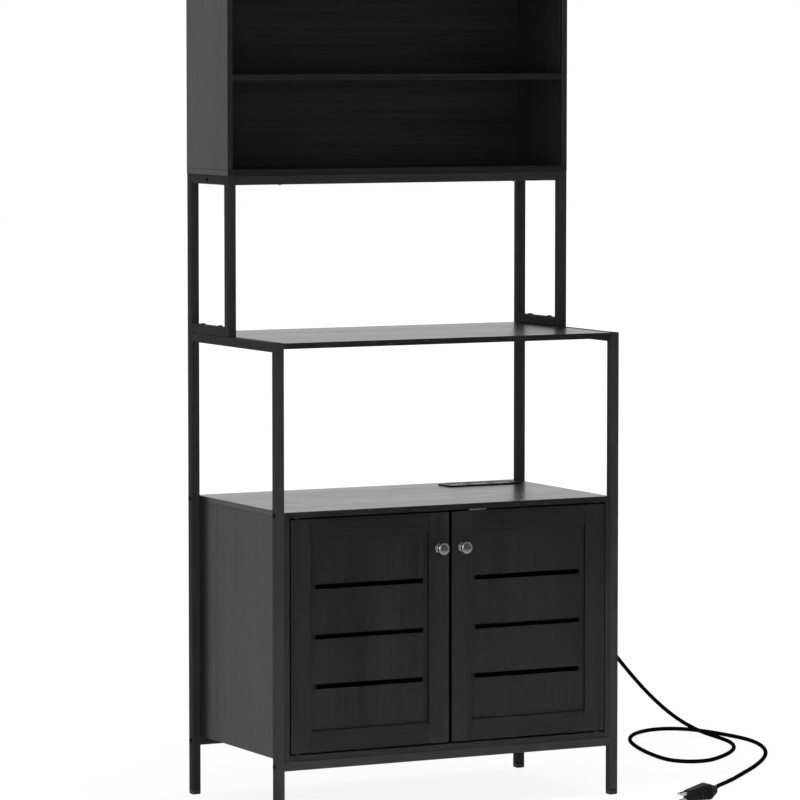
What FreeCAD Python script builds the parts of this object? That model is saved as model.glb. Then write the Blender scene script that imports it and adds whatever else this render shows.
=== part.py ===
import FreeCAD, Part
import math
import os
from types import SimpleNamespace

import Sketcher

V = FreeCAD.Vector
doc = FreeCAD.newDocument("coffee_station")

# Driving sizes in millimetres, one sheet cell each
SIZES = [
    ("overall_width", "800", "across the outer faces of the legs"),
    ("overall_depth", "425", "front face of the front legs to rear face of the rear legs"),
    ("hutch_depth", "200", "hutch frame and box, front to rear"),
    ("ground_clearance", "105", "floor to the underside of the bottom rails"),
    ("work_height", "634", "floor to the top of the worktop"),
    ("shelf_height", "978", "floor to the top of the mid shelf"),
    ("hutch_frame_height", "1310", "floor to the top of the hutch frame"),
    ("hutch_bay", "184", "clear height of each hutch bay"),
    ("tube", "19", "side of the square tube"),
    ("tube_wall", "1.2", "wall of the square tube"),
    ("tube_corner", "2", "outer corner radius of the square tube"),
    ("sheet_board", "12", "thickness of the boards"),
    ("back_board", "3", "thickness of the back panels"),
    ("edge_setback", "1", "cabinet boards behind the front face of the legs"),
    ("edge_ease", "0.6", "eased edges of the boards"),
    ("insert_clearance", "0.2", "around each piece that slides into a tube"),
    ("foot_height", "10", "visible part of a foot cap"),
    ("foot_round", "3", "edge radius of a foot cap's underside"),
    ("foot_stem", "18", "part of a foot cap inside the leg"),
    ("spigot_reach", "30", "spigot above and below the joint"),
    ("spigot_wall", "1.5", "wall of a spigot"),
    ("plug_reach", "22", "threaded plug inside the end of a rail"),
    ("bolt", "6", "shank of a frame bolt"),
    ("bolt_hole", "6.4", "hole for a frame bolt"),
    ("bolt_head", "11", "head of a frame bolt"),
    ("bolt_head_height", "2.6", "height of a frame bolt's head"),
    ("bolt_grip", "18", "frame bolt past the leg that it passes"),
    ("hutch_bolt_pitch", "84", "between the two bolts of a lower hutch rail"),
    ("hutch_bolt_grip", "8", "hutch bolt past the lower hutch rail"),
    ("screw", "4", "shank of a board screw"),
    ("screw_hole", "4.2", "hole for a board screw"),
    ("screw_head", "8", "head of a board screw"),
    ("screw_head_height", "1.8", "height of a board screw's head"),
    ("screw_grip", "9", "board screw inside the board"),
    ("screw_inset", "104", "board screws from the ends of the cross rails"),
    ("hole_end", "1", "blind holes past the end of what they hold"),
    ("head_round", "0.6", "edge radius of a fastener's head, as a share of its height"),
    ("tab_reach", "30", "shelf tab, out from the side rail"),
    ("tab_width", "26", "shelf tab, along the side rail"),
    ("tab_sheet", "1.5", "thickness of a shelf tab"),
    ("tab_inset", "60", "middle of a shelf tab from the front or rear face"),
    ("shelf_gap", "0.8", "mid shelf to the side rails"),
    ("inner_shelf_setback", "30", "inner shelf behind the doors"),
    ("inner_shelf_gap", "1", "inner shelf to the cabinet's sides and back"),
    ("shelf_pin", "5", "diameter of a shelf pin"),
    ("shelf_pin_depth", "8", "shelf pin inside the side"),
    ("shelf_pin_reach", "9", "shelf pin under the shelf"),
    ("shelf_pin_inset", "50", "shelf pin from the shelf's front or rear edge"),
    ("pin_seat_gap", "0.1", "slack over a shelf pin and under a pivot collar"),
    ("bracket_leg", "25", "leg of a corner bracket"),
    ("bracket_width", "14", "width of a corner bracket"),
    ("bracket_sheet", "1.5", "thickness of a corner bracket"),
    ("bracket_front", "30", "middle of the front brackets behind the hutch front"),
    ("bracket_rear", "22", "middle of the rear brackets before the hutch back"),
    ("door_thickness", "15", "stiles and rails of a door"),
    ("door_side_gap", "2.5", "door to cabinet side"),
    ("door_middle_gap", "7", "between the two doors"),
    ("door_end_gap", "3.5", "above and below a door"),
    ("stile_width", "46.5", "door stiles"),
    ("rail_width", "44", "door rails"),
    ("panel_recess", "6", "slotted panel behind the door's front face"),
    ("panel_sheet", "6", "thickness of the slotted panel"),
    ("groove_depth", "6", "panel groove in stiles and rails"),
    ("groove_slack", "0.1", "around the panel in its groove"),
    ("slot_margin", "11", "end of a slot from the stile"),
    ("slot_height", "10", "slots in a door panel"),
    ("slot_pitch", "102.5", "between slots"),
    ("slot_drop", "3", "middle slot below the middle of the panel"),
    ("knob_drop", "74", "knob's axis below the top of the door"),
    ("knob_projection", "28", "knob in front of the door"),
    ("knob_head", "26", "diameter of a knob's head"),
    ("knob_base", "20", "diameter of a knob's foot"),
    ("knob_neck", "10", "diameter of a knob's neck"),
    ("knob_foot", "2.5", "height of a knob's foot"),
    ("knob_waist", "5.5", "start of a knob's neck"),
    ("knob_flare", "11", "end of a knob's neck"),
    ("knob_rim", "16.5", "start of a knob's head"),
    ("knob_round", "2.5", "edge radius of a knob's head at its back"),
    ("knob_crown", "6.5", "edge radius of a knob's head at its front"),
    ("knob_stem", "13", "stem of a knob inside the stile"),
    ("pivot_inset", "16", "pivot axis from the outer edge of a door"),
    ("pivot_pin", "5", "diameter of a pivot pin"),
    ("pivot_clearance", "0.05", "pivot pin in its bush, and bush in its board"),
    ("pivot_grip", "16", "pivot pin inside the stile"),
    ("pivot_reach", "7", "pivot pin inside the bush's board"),
    ("pivot_collar", "9", "diameter of a pivot pin's collar"),
    ("bush_barrel", "8", "outer diameter of a pivot bush"),
    ("bush_depth", "8", "pivot bush inside its board"),
    ("bush_flange", "12", "diameter of a bush's flange"),
    ("bush_flange_height", "1.5", "height of a bush's flange"),
    ("catch_offset", "72", "magnetic catch from the middle of the cabinet"),
    ("catch_width", "46", "magnetic catch"),
    ("catch_depth", "20", "magnetic catch"),
    ("catch_height", "14", "magnetic catch"),
    ("pole_sheet", "1.5", "thickness of a catch's steel poles"),
    ("pole_width", "16", "width of a catch's steel poles"),
    ("pole_pitch", "22", "between the steel poles of a catch"),
    ("strike_width", "44", "strike plate on a door"),
    ("strike_height", "11", "strike plate on a door"),
    ("strike_sheet", "1.2", "strike plate on a door"),
    ("strike_gap", "0.3", "strike plate to catch"),
    ("strip_length", "180", "power strip's bezel"),
    ("strip_width", "58", "power strip's bezel"),
    ("strip_rise", "3", "power strip's bezel above the worktop"),
    ("strip_corner", "9", "corner radius of the bezel"),
    ("strip_edge", "1", "edge radius of the bezel's top"),
    ("strip_end_margin", "31", "bezel to the end of the worktop"),
    ("strip_rear_margin", "42", "bezel to the rear edge of the worktop"),
    ("strip_flange", "5", "bezel's overlap round the cut-out"),
    ("housing_gap", "1", "power housing in the worktop's cut-out"),
    ("housing_height", "46", "power housing below the bezel"),
    ("housing_wall", "2", "power housing"),
    ("socket_size", "40", "side of a socket module"),
    ("socket_pitch", "54", "between socket modules"),
    ("socket_height", "18", "height of a socket module"),
    ("socket_sink", "0.6", "socket module below the bezel's top"),
    ("socket_slot", "2", "width of a blade slot"),
    ("socket_slot_length", "7.5", "length of a blade slot"),
    ("socket_earth", "5.2", "diameter of a round pin's hole"),
    ("socket_hole_depth", "12", "holes in a socket module"),
    ("port_width", "9", "charging port"),
    ("port_height", "3.2", "charging port"),
    ("port_pitch", "11", "between charging ports"),
    ("cord", "9", "diameter of the power cord"),
    ("gland_inset", "40", "cord exit from the bezel's outer end"),
    ("gland_drop", "30", "cord exit below the worktop's top"),
    ("gland_foot", "17", "gland's diameter at the housing"),
    ("gland_tip", "11", "gland's diameter at the cord"),
    ("gland_length", "41.5", "gland behind the housing"),
    ("gland_flange", "3", "height of the gland's foot"),
    ("cable_hole", "28", "hole in the cabinet's back"),
    ("plug_relief", "20", "tapered sleeve behind the plug"),
    ("plug_relief_root", "16", "sleeve's diameter at its end in the plug"),
    ("plug_bend", "10", "part of the sleeve before the plug's bend"),
    ("plug_neck", "22", "side of the plug body at the bend"),
    ("plug_taper", "18", "swelling part of the plug body"),
    ("plug_body_length", "52", "sloping part of the plug body"),
    ("plug_width", "41", "plug body where it is largest"),
    ("plug_thickness", "34", "plug body where it is largest"),
    ("plug_round", "9", "long edges of the plug body"),
    ("blade_length", "17", "plug blades"),
    ("blade_width", "6.3", "plug blades"),
    ("blade_sheet", "1.5", "plug blades"),
    ("blade_pitch", "12.7", "between the plug blades"),
    ("earth_pin", "4.8", "diameter of the plug's round pin"),
    ("earth_pitch", "11.9", "round pin from the line of the blades"),
    ("earth_lead", "3", "round pin past the blades"),
]

class Size:
    """A length: its formula in sheet cells and its present value."""

    def __init__(self, formula, number):
        self.formula = formula
        self.number = number

    def joined(self, sign, other, number):
        return Size(f"({self.formula} {sign} {other.formula})", number)

    def __add__(self, other):
        other = as_size(other)
        return self.joined("+", other, self.number + other.number)

    def __sub__(self, other):
        other = as_size(other)
        return self.joined("-", other, self.number - other.number)

    def __mul__(self, factor):
        factor = as_size(factor)
        return self.joined("*", factor, self.number * factor.number)

    def __truediv__(self, divisor):
        divisor = as_size(divisor)
        return self.joined("/", divisor, self.number / divisor.number)

    def __neg__(self):
        return self * -1

    def __rsub__(self, other):
        return as_size(other) - self

    __radd__ = __add__
    __rmul__ = __mul__


def as_size(value):
    return value if isinstance(value, Size) else Size(f"({float(value)})", float(value))


def fill_sheet():
    """Write the sizes into the sheet and hand them back as formulas."""
    sheet = doc.addObject("Spreadsheet::Sheet", "sizes")
    for row, (alias, text, note) in enumerate(SIZES, start=1):
        sheet.set(f"A{row}", alias)
        sheet.set(f"B{row}", text)
        sheet.set(f"C{row}", note)
        sheet.setAlias(f"B{row}", alias)
    doc.recompute()
    cells = {alias: Size(f"sizes.{alias}", float(sheet.get(alias))) for alias, _, _ in SIZES}
    return SimpleNamespace(**cells)


s = fill_sheet()

# The cord's route from the gland to the plug, its floor stretch at the cord's own radius; the plug is bent
# aside, and rests on the slope of its underside
CORNER_SHARE = 0.45
REST = s.cord.number / 2
PLUG_TURN = -47
PLUG_DRAFT = 6.5
PLUG_AXIS = (s.plug_thickness.number / 2 * math.cos(math.radians(PLUG_DRAFT))
             + s.plug_taper.number * math.sin(math.radians(PLUG_DRAFT)))
HANG = 20
CORD_ROUTE = [
    (310, 220, 604), (310, 262, 604), (328, 304, 595), (366, 342, 572), (424, 376, 533),
    (500, 410, 476), (588, 442, 400), (678, 470, 316), (760, 492, 230), (834, 505, 150),
    (898, 502, 83), (946, 474, 36), (978, 422, 11), (991, 352, REST), (978, 284, REST),
    (942, 212, REST), (890, 152, REST), (840, 111, REST), (802, 86, REST), (767, 82, REST),
    (738, 98, REST), (722, 128, REST), (722, 172, REST), (733, 246, REST), (756, 336, REST),
    (789, 422, REST), (838, 492, REST), (898, 535, REST), (954, 540, REST), (996, 508, REST),
    (1017, 450, REST), (1031, 380, REST), (1037, 306, REST), (1019, 224, REST), (977, 134, REST),
    (916, 48, REST), (838, -38, REST), (758, -114, REST), (706, -167, 6), (660, -216, 10),
    (618, -264, 15), (585, -300, PLUG_AXIS), (561, -328, PLUG_AXIS),
]

# Faces and levels that several pieces share
half = s.overall_width / 2
front = (s.knob_projection - s.overall_depth) / 2
rear = (s.knob_projection + s.overall_depth) / 2
hutch_front = rear - s.hutch_depth
hutch_middle = rear - s.hutch_depth / 2
back_face = rear - s.back_board
post_inside = half - s.tube
cabin_inside = post_inside - s.sheet_board
cabin_front = front + s.edge_setback
rail_axis = s.ground_clearance + s.tube / 2
rail_top = s.ground_clearance + s.tube
cabin_floor = rail_top + s.sheet_board
work_under = s.work_height - s.sheet_board
work_axis = s.work_height - s.sheet_board / 2
shelf_under = s.shelf_height - s.sheet_board
hutch_rail_under = s.hutch_frame_height - s.tube
bay_floor = s.hutch_frame_height + s.sheet_board
hutch_shelf_under = bay_floor + s.hutch_bay
hutch_top_under = hutch_shelf_under + s.sheet_board + s.hutch_bay
overall_height = hutch_top_under + s.sheet_board
hutch_inside = half - s.sheet_board
insert_side = s.tube - 2 * s.tube_wall - 2 * s.insert_clearance
insert_edge = s.tube_wall + s.insert_clearance
screw_x = post_inside - s.screw_inset
inner_shelf_under = (cabin_floor + work_under - s.sheet_board) / 2

# How a piece's own sketch plane lies: flat, facing the front, or facing the right-hand side
LYING = FreeCAD.Rotation()
FACING = FreeCAD.Rotation(V(1, 0, 0), 90)
SIDEWAYS = FreeCAD.Rotation(V(1, 1, 1), 120)
HANGING = FreeCAD.Rotation(V(1, 0, 0), 180)
LEFTWARDS = FreeCAD.Rotation(V(0, 1, 0), -90)
REARWARDS = FreeCAD.Rotation(V(1, 0, 0), -90)

PLANES = ("YZ_Plane", "XZ_Plane", "XY_Plane")
spots = {}
nodes = []


def bind(thing, **formulas):
    for path, size in formulas.items():
        thing.setExpression(path.replace("__", "."), as_size(size).formula)


def new_body(label, spot, turn=LYING):
    body = doc.addObject("PartDesign::Body", label)
    body.Label = label
    body.Placement = FreeCAD.Placement(V(0, 0, 0), turn)
    bind(body, Placement__Base__x=spot[0], Placement__Base__y=spot[1], Placement__Base__z=spot[2])
    spots[label] = (spot, turn)
    return body


def new_sketch(body, plane="XY_Plane", lift=None):
    sketch = body.newObject("Sketcher::SketchObject", f"{body.Label}_sketch")
    support = [item for item in body.Origin.OriginFeatures if item.Role == plane]
    sketch.AttachmentSupport = [(support[0], "")]
    sketch.MapMode = "FlatFace"
    if lift is not None:
        bind(sketch, AttachmentOffset__Base__z=lift)
    return sketch


def hold_point(sketch, geometry, end, x, y):
    """Tie one point of a sketch to the sketch's axes by its two distances."""
    for kind, axis, size in (("DistanceX", -2, as_size(x)), ("DistanceY", -1, as_size(y))):
        if abs(size.number) < 1e-9:
            sketch.addConstraint(Sketcher.Constraint("PointOnObject", geometry, end, axis))
            continue
        index = sketch.addConstraint(Sketcher.Constraint(kind, -1, 1, geometry, end, size.number))
        sketch.setExpression(f"Constraints[{index}]", size.formula)


def polygon(sketch, points):
    corners = [V(as_size(x).number, as_size(y).number, 0) for x, y in points]
    lines = []
    for here, after in zip(corners, corners[1:] + corners[:1]):
        lines.append(sketch.addGeometry(Part.LineSegment(here, after), False))
    for line, after in zip(lines, lines[1:] + lines[:1]):
        sketch.addConstraint(Sketcher.Constraint("Coincident", line, 2, after, 1))
    for line, (x, y) in zip(lines, points):
        hold_point(sketch, line, 1, x, y)


def rectangle(sketch, x, y, width, height):
    x, y = as_size(x), as_size(y)
    polygon(sketch, [(x, y), (x + width, y), (x + width, y + height), (x, y + height)])


def circle(sketch, x, y, diameter):
    centre = V(as_size(x).number, as_size(y).number, 0)
    index = sketch.addGeometry(Part.Circle(centre, V(0, 0, 1), diameter.number / 2), False)
    hold_point(sketch, index, 3, x, y)
    size = sketch.addConstraint(Sketcher.Constraint("Diameter", index, diameter.number))
    sketch.setExpression(f"Constraints[{size}]", diameter.formula)


def pad(body, sketch, length, reverse=False):
    feature = body.newObject("PartDesign::Pad", f"{body.Label}_pad")
    feature.Profile = sketch
    feature.Reversed = reverse
    bind(feature, Length=length)
    doc.recompute()
    return feature


def cut(body, sketch, depth=None, reverse=False):
    """Cut a sketch out of a body, right through it both ways where no depth is given."""
    before = body.Shape.Volume
    feature = body.newObject("PartDesign::Pocket", f"{body.Label}_cut")
    feature.Profile = sketch
    feature.Reversed = reverse
    if depth is None:
        feature.SideType = "Symmetric"
        feature.Type = "ThroughAll"
    else:
        bind(feature, Length=depth)
    doc.recompute()
    if body.Shape.Volume > before - 1e-6:
        raise RuntimeError(f"{body.Label}: a cut removes nothing")
    return feature


def round_edges(body, radius, wanted):
    """Round the edges of a body's last feature for which the test holds."""
    base = body.Tip
    names = [f"Edge{i}" for i, edge in enumerate(base.Shape.Edges, start=1) if wanted(edge)]
    feature = body.newObject("PartDesign::Fillet", f"{body.Label}_round")
    feature.Base = (base, names)
    bind(feature, Radius=radius)
    doc.recompute()


def runs_along(edge, axis):
    ends = [vertex.Point for vertex in edge.Vertexes]
    return len(ends) == 2 and abs((ends[1] - ends[0]).normalize()[axis]) > 0.999


def at_level(edge, level):
    box = edge.BoundBox
    return abs(box.ZMin - level) < 1e-4 and abs(box.ZMax - level) < 1e-4


def blank(label, low, high, turn=LYING):
    """Start a piece between two corners: where it sits and its three sides in its own frame."""
    spans = [h - l for l, h in zip(low, high)]
    if turn is FACING:
        return new_body(label, (low[0], high[1], low[2]), turn), (spans[0], spans[2], spans[1])
    if turn is SIDEWAYS:
        return new_body(label, low, turn), (spans[1], spans[2], spans[0])
    return new_body(label, low, turn), spans


def board(label, low, high, turn=LYING):
    body, (width, height, thickness) = blank(label, low, high, turn)
    sketch = new_sketch(body)
    rectangle(sketch, 0, 0, width, height)
    pad(body, sketch, thickness)
    return body


def eased_board(label, low, high, turn=LYING):
    """A board with all its edges eased by a small chamfer."""
    body = board(label, low, high, turn)
    base = body.Tip
    feature = body.newObject("PartDesign::Chamfer", f"{label}_ease")
    feature.Base = (base, [f"Edge{i}" for i in range(1, len(base.Shape.Edges) + 1)])
    bind(feature, Size=s.edge_ease)
    doc.recompute()
    return body


def long_axis(turn):
    """The axis of the whole object along which a piece's own third axis runs."""
    if turn is FACING:
        return 1
    return 0 if turn is SIDEWAYS else 2


def tube(label, low, length, turn, side=s.tube, wall=s.tube_wall):
    """A square tube from its lowest corner, along the axis that its turn gives."""
    high = [low[i] + (length if i == long_axis(turn) else side) for i in range(3)]
    body, sides = blank(label, low, high, turn)
    sketch = new_sketch(body)
    rectangle(sketch, 0, 0, side, side)
    rectangle(sketch, wall, wall, side - 2 * wall, side - 2 * wall)
    pad(body, sketch, sides[2])
    edges = (0, side.number)

    def outer(edge):
        point = edge.Vertexes[0].Point
        gaps = [min(abs(place - limit) for limit in edges) for place in (point.x, point.y)]
        return runs_along(edge, 2) and max(gaps) < 1e-4

    round_edges(body, s.tube_corner, outer)
    return body


def own_frame(turn):
    """For each of a piece's own axes, the object's axis that it lies on and its sign."""
    if turn is FACING:
        return (0, 1), (2, 1), (1, -1)
    if turn is SIDEWAYS:
        return (1, 1), (2, 1), (0, 1)
    return (0, 1), (1, 1), (2, 1)


def drill(body, axis, diameter, mouths, depth=None, inwards=1):
    """Drill along an axis of the object, right through or to a depth from the mouths' level."""
    spot, turn = spots[body.Label]
    frame = own_frame(turn)
    own_axis = [on for on, _ in frame].index(axis)
    sign = frame[own_axis][1]
    normal = -1 if PLANES[own_axis] == "XZ_Plane" else 1
    places = [[(mouth[on] - spot[on]) * way for on, way in frame] for mouth in mouths]
    lift = None if depth is None else places[0][own_axis] * normal
    sketch = new_sketch(body, PLANES[own_axis], lift)
    for place in places:
        across = [place[i] for i in range(3) if i != own_axis]
        circle(sketch, across[0], across[1], diameter)
    cut(body, sketch, depth, reverse=inwards * sign == normal)


def revolved(label, spot, turn, profile):
    """A turned piece: radius and height of each corner, about the piece's own third axis."""
    body = new_body(label, spot, turn)
    sketch = new_sketch(body, "XZ_Plane")
    polygon(sketch, profile)
    feature = body.newObject("PartDesign::Revolution", f"{label}_turn")
    feature.Profile = sketch
    feature.ReferenceAxis = (sketch, ["V_Axis"])
    feature.Angle = 360
    doc.recompute()
    return body


def fastener(label, spot, turn, shank, length, head, head_height):
    """A low-headed bolt or screw, its head's underside at the spot."""
    body = new_body(label, spot, turn)
    shank_sketch = new_sketch(body)
    circle(shank_sketch, 0, 0, shank)
    pad(body, shank_sketch, length)
    head_sketch = new_sketch(body)
    circle(head_sketch, 0, 0, head)
    pad(body, head_sketch, head_height, reverse=True)
    round_edges(body, head_height * s.head_round, lambda edge: at_level(edge, -head_height.number))
    return body


def ordered(one, other):
    return (one, other) if one.number < other.number else (other, one)


def keep(piece):
    nodes.append(piece)
    return piece


def group(label, pieces):
    """Several like pieces under one name, each a solid of its own."""
    compound = doc.addObject("Part::Compound", label)
    compound.Label = label
    compound.Links = pieces
    return keep(compound)


SIDES = (("left", -1), ("right", 1))
post_x = {"left": -half, "right": post_inside}
leg_y = {"front": front, "rear": rear - s.tube}
hutch_post_y = {"front": hutch_front, "rear": rear - s.tube}


def lower_frame():
    """Legs, foot caps, bottom rails, and what joins them to the posts above."""
    caps, spigots, plugs, bolts = [], [], [], []
    for end, y in leg_y.items():
        middle = y + s.tube / 2
        low = (-post_inside, y, s.ground_clearance)
        keep(tube(f"bottom_rail_{end}", low, 2 * post_inside, SIDEWAYS))
        for side, sign in SIDES:
            x = post_x[side]
            name = f"{end}_{side}"
            leg = keep(tube(f"leg_{name}", (x, y, s.foot_height), s.work_height - s.foot_height, LYING))
            drill(leg, 0, s.bolt_hole, [(x, middle, rail_axis), (x, middle, work_axis)])
            caps.append(foot_cap(f"foot_cap_{name}", x, y))
            low = (x + insert_edge, y + insert_edge, s.work_height - s.spigot_reach)
            spigot = tube(f"spigot_{name}", low, 2 * s.spigot_reach, LYING, insert_side, s.spigot_wall)
            drill(spigot, 0, s.bolt_hole, [(x, middle, work_axis)])
            spigots.append(spigot)
            inner, outer = ordered(sign * (post_inside - s.plug_reach), sign * post_inside)
            low = (inner, y + insert_edge, s.ground_clearance + insert_edge)
            high = (outer, y + s.tube - insert_edge, rail_top - insert_edge)
            plug = board(f"rail_plug_{name}", low, high, SIDEWAYS)
            drill(plug, 0, s.bolt_hole, [(inner, middle, rail_axis)])
            plugs.append(plug)
            turn = SIDEWAYS if sign < 0 else LEFTWARDS
            for level, axis in (("low", rail_axis), ("high", work_axis)):
                spot = (sign * half, middle, axis)
                length = s.tube + s.bolt_grip
                bolts.append(fastener(f"frame_bolt_{name}_{level}", spot, turn,
                                      s.bolt, length, s.bolt_head, s.bolt_head_height))
    group("foot_caps", caps)
    group("post_spigots", spigots)
    group("rail_end_plugs", plugs)
    group("frame_bolts", bolts)


def foot_cap(label, x, y):
    body = new_body(label, (x, y, 0))
    sketch = new_sketch(body)
    rectangle(sketch, 0, 0, s.tube, s.tube)
    pad(body, sketch, s.foot_height)
    round_edges(body, s.tube_corner, lambda edge: runs_along(edge, 2))
    round_edges(body, s.foot_round, lambda edge: at_level(edge, 0))
    stem = new_sketch(body, lift=s.foot_height)
    rectangle(stem, insert_edge, insert_edge, insert_side, insert_side)
    pad(body, stem, s.foot_stem)
    return body


def upper_frame():
    """Mid side frames, hutch side frames, cross rails, and the fasteners that hold them."""
    bolts, screws = [], []
    bolt_y = [hutch_middle - s.hutch_bolt_pitch / 2, hutch_middle + s.hutch_bolt_pitch / 2]
    hutch_rail_run = s.hutch_depth - 2 * s.tube
    for side, sign in SIDES:
        x = post_x[side]
        middle = x + s.tube / 2
        post_run = s.shelf_height - s.work_height
        posts = [tube(f"mid_post_{end}_{side}", (x, y, s.work_height), post_run, LYING)
                 for end, y in leg_y.items()]
        group(f"mid_posts_{side}", posts)
        low = (x, front + s.tube, s.shelf_height - s.tube)
        rail = keep(tube(f"mid_rail_{side}", low, s.overall_depth - 2 * s.tube, FACING))
        mouths = [(middle, y, s.shelf_height) for y in bolt_y]
        drill(rail, 2, s.bolt_hole, mouths, depth=2 * s.tube_wall, inwards=-1)
        post_run = s.hutch_frame_height - s.shelf_height
        posts = [tube(f"hutch_post_{end}_{side}", (x, y, s.shelf_height), post_run, LYING)
                 for end, y in hutch_post_y.items()]
        group(f"hutch_posts_{side}", posts)
        rail_y = hutch_front + s.tube
        lower = tube(f"hutch_lower_rail_{side}", (x, rail_y, s.shelf_height), hutch_rail_run, FACING)
        drill(lower, 2, s.bolt_hole, mouths)
        upper = tube(f"hutch_upper_rail_{side}", (x, rail_y, hutch_rail_under), hutch_rail_run, FACING)
        group(f"hutch_rails_{side}", [lower, upper])
        for row, y in enumerate(bolt_y, start=1):
            spot = (middle, y, s.shelf_height + s.tube)
            bolts.append(fastener(f"hutch_bolt_{side}_{row}", spot, HANGING,
                                  s.bolt, s.tube + s.hutch_bolt_grip, s.bolt_head, s.bolt_head_height))
    for end, y in hutch_post_y.items():
        low = (-post_inside, y, hutch_rail_under)
        rail = keep(tube(f"hutch_cross_rail_{end}", low, 2 * post_inside, SIDEWAYS))
        middle = y + s.tube / 2
        drill(rail, 2, s.screw_hole, [(sign * screw_x, middle, hutch_rail_under) for _, sign in SIDES])
        for side, sign in SIDES:
            spot = (sign * screw_x, middle, hutch_rail_under)
            screws.append(fastener(f"hutch_screw_{end}_{side}", spot, LYING,
                                   s.screw, s.tube + s.screw_grip, s.screw_head, s.screw_head_height))
    group("hutch_bolts", bolts)
    group("hutch_screws", screws)


# The power strip's bezel in the worktop, and the cord's way out behind it
strip_right = post_inside - s.strip_end_margin
strip_left = strip_right - s.strip_length
strip_rear = rear - s.strip_rear_margin
strip_front = strip_rear - s.strip_width
housing_rear = strip_rear - s.strip_flange - s.housing_gap
gland_x = strip_right - s.gland_inset
gland_z = s.work_height - s.gland_drop

# The doors' pivots
pivot_x = cabin_inside - s.door_side_gap - s.pivot_inset
pivot_y = front + s.door_thickness / 2
pivot_places = [(sign * pivot_x, pivot_y) for _, sign in SIDES]
door_low = cabin_floor + s.door_end_gap
door_high = work_under - s.door_end_gap
bush_hole = s.bush_barrel + 2 * s.pivot_clearance
bush_hole_depth = s.bush_depth + s.hole_end
knob_level = door_high - s.knob_drop


def worktop():
    body = keep(eased_board("worktop", (-post_inside, front, work_under), (post_inside, rear, s.work_height)))
    low = (-post_inside, front, work_under)
    sketch = new_sketch(body)
    rectangle(sketch, strip_left + s.strip_flange - low[0], strip_front + s.strip_flange - low[1],
              s.strip_length - 2 * s.strip_flange, s.strip_width - 2 * s.strip_flange)
    cut(body, sketch)
    for _, sign in SIDES:
        mouths = [(sign * post_inside, y + s.tube / 2, work_axis) for y in leg_y.values()]
        drill(body, 0, s.bolt_hole, mouths, depth=s.bolt_grip + s.hole_end, inwards=-sign)
    mouths = [(x, y, work_under) for x, y in pivot_places]
    drill(body, 2, bush_hole, mouths, depth=bush_hole_depth, inwards=1)


def mid_shelf():
    """The open shelf between the mid side rails, on tabs welded to them."""
    shelf_x = post_inside - s.shelf_gap
    keep(eased_board("mid_shelf", (-shelf_x, front, shelf_under), (shelf_x, rear, s.shelf_height)))
    tabs = []
    for side, sign in SIDES:
        x = ordered(sign * post_inside, sign * (post_inside - s.tab_reach))
        for end, y in (("front", front + s.tab_inset), ("rear", rear - s.tab_inset)):
            low = (x[0], y - s.tab_width / 2, shelf_under - s.tab_sheet)
            tab = board(f"shelf_tab_{end}_{side}", low, (x[1], y + s.tab_width / 2, shelf_under))
            drill(tab, 2, s.screw_hole, [((x[0] + x[1]) / 2, y, shelf_under)])
            tabs.append(tab)
    group("shelf_tabs", tabs)


def cabinet():
    """Sides, bottom and back of the cabinet, and its inner shelf on pins."""
    shelf_front = front + s.door_thickness + s.inner_shelf_setback
    shelf_rear = back_face - s.inner_shelf_gap
    pin_y = (shelf_front + s.shelf_pin_inset, shelf_rear - s.shelf_pin_inset)
    pin_z = inner_shelf_under - s.shelf_pin / 2 - s.pin_seat_gap
    pins = []
    for side, sign in SIDES:
        x = ordered(sign * cabin_inside, sign * post_inside)
        body = keep(eased_board(f"cabinet_side_{side}", (x[0], cabin_front, rail_top),
                          (x[1], back_face, work_under), SIDEWAYS))
        drill(body, 0, s.shelf_pin + 2 * s.pivot_clearance, [(sign * cabin_inside, y, pin_z) for y in pin_y],
              depth=s.shelf_pin_depth + s.hole_end, inwards=sign)
        for row, y in enumerate(pin_y, start=1):
            pin = new_body(f"shelf_pin_{side}_{row}", (sign * (cabin_inside - s.shelf_pin_reach), y, pin_z),
                           LEFTWARDS if sign < 0 else SIDEWAYS)
            sketch = new_sketch(pin)
            circle(sketch, 0, 0, s.shelf_pin)
            pad(pin, sketch, s.shelf_pin_reach + s.shelf_pin_depth)
            pins.append(pin)
    group("inner_shelf_pins", pins)
    bottom = keep(eased_board("cabinet_bottom", (-cabin_inside, cabin_front, rail_top),
                        (cabin_inside, back_face, cabin_floor)))
    mouths = [(x, y, cabin_floor) for x, y in pivot_places]
    drill(bottom, 2, bush_hole, mouths, depth=bush_hole_depth, inwards=-1)
    back = keep(board("cabinet_back", (-post_inside, back_face, rail_top),
                      (post_inside, rear, work_under), FACING))
    drill(back, 1, s.cable_hole, [(gland_x, rear, gland_z)])
    shelf_x = cabin_inside - s.inner_shelf_gap
    keep(eased_board("inner_shelf", (-shelf_x, shelf_front, inner_shelf_under),
               (shelf_x, shelf_rear, inner_shelf_under + s.sheet_board)))


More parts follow.
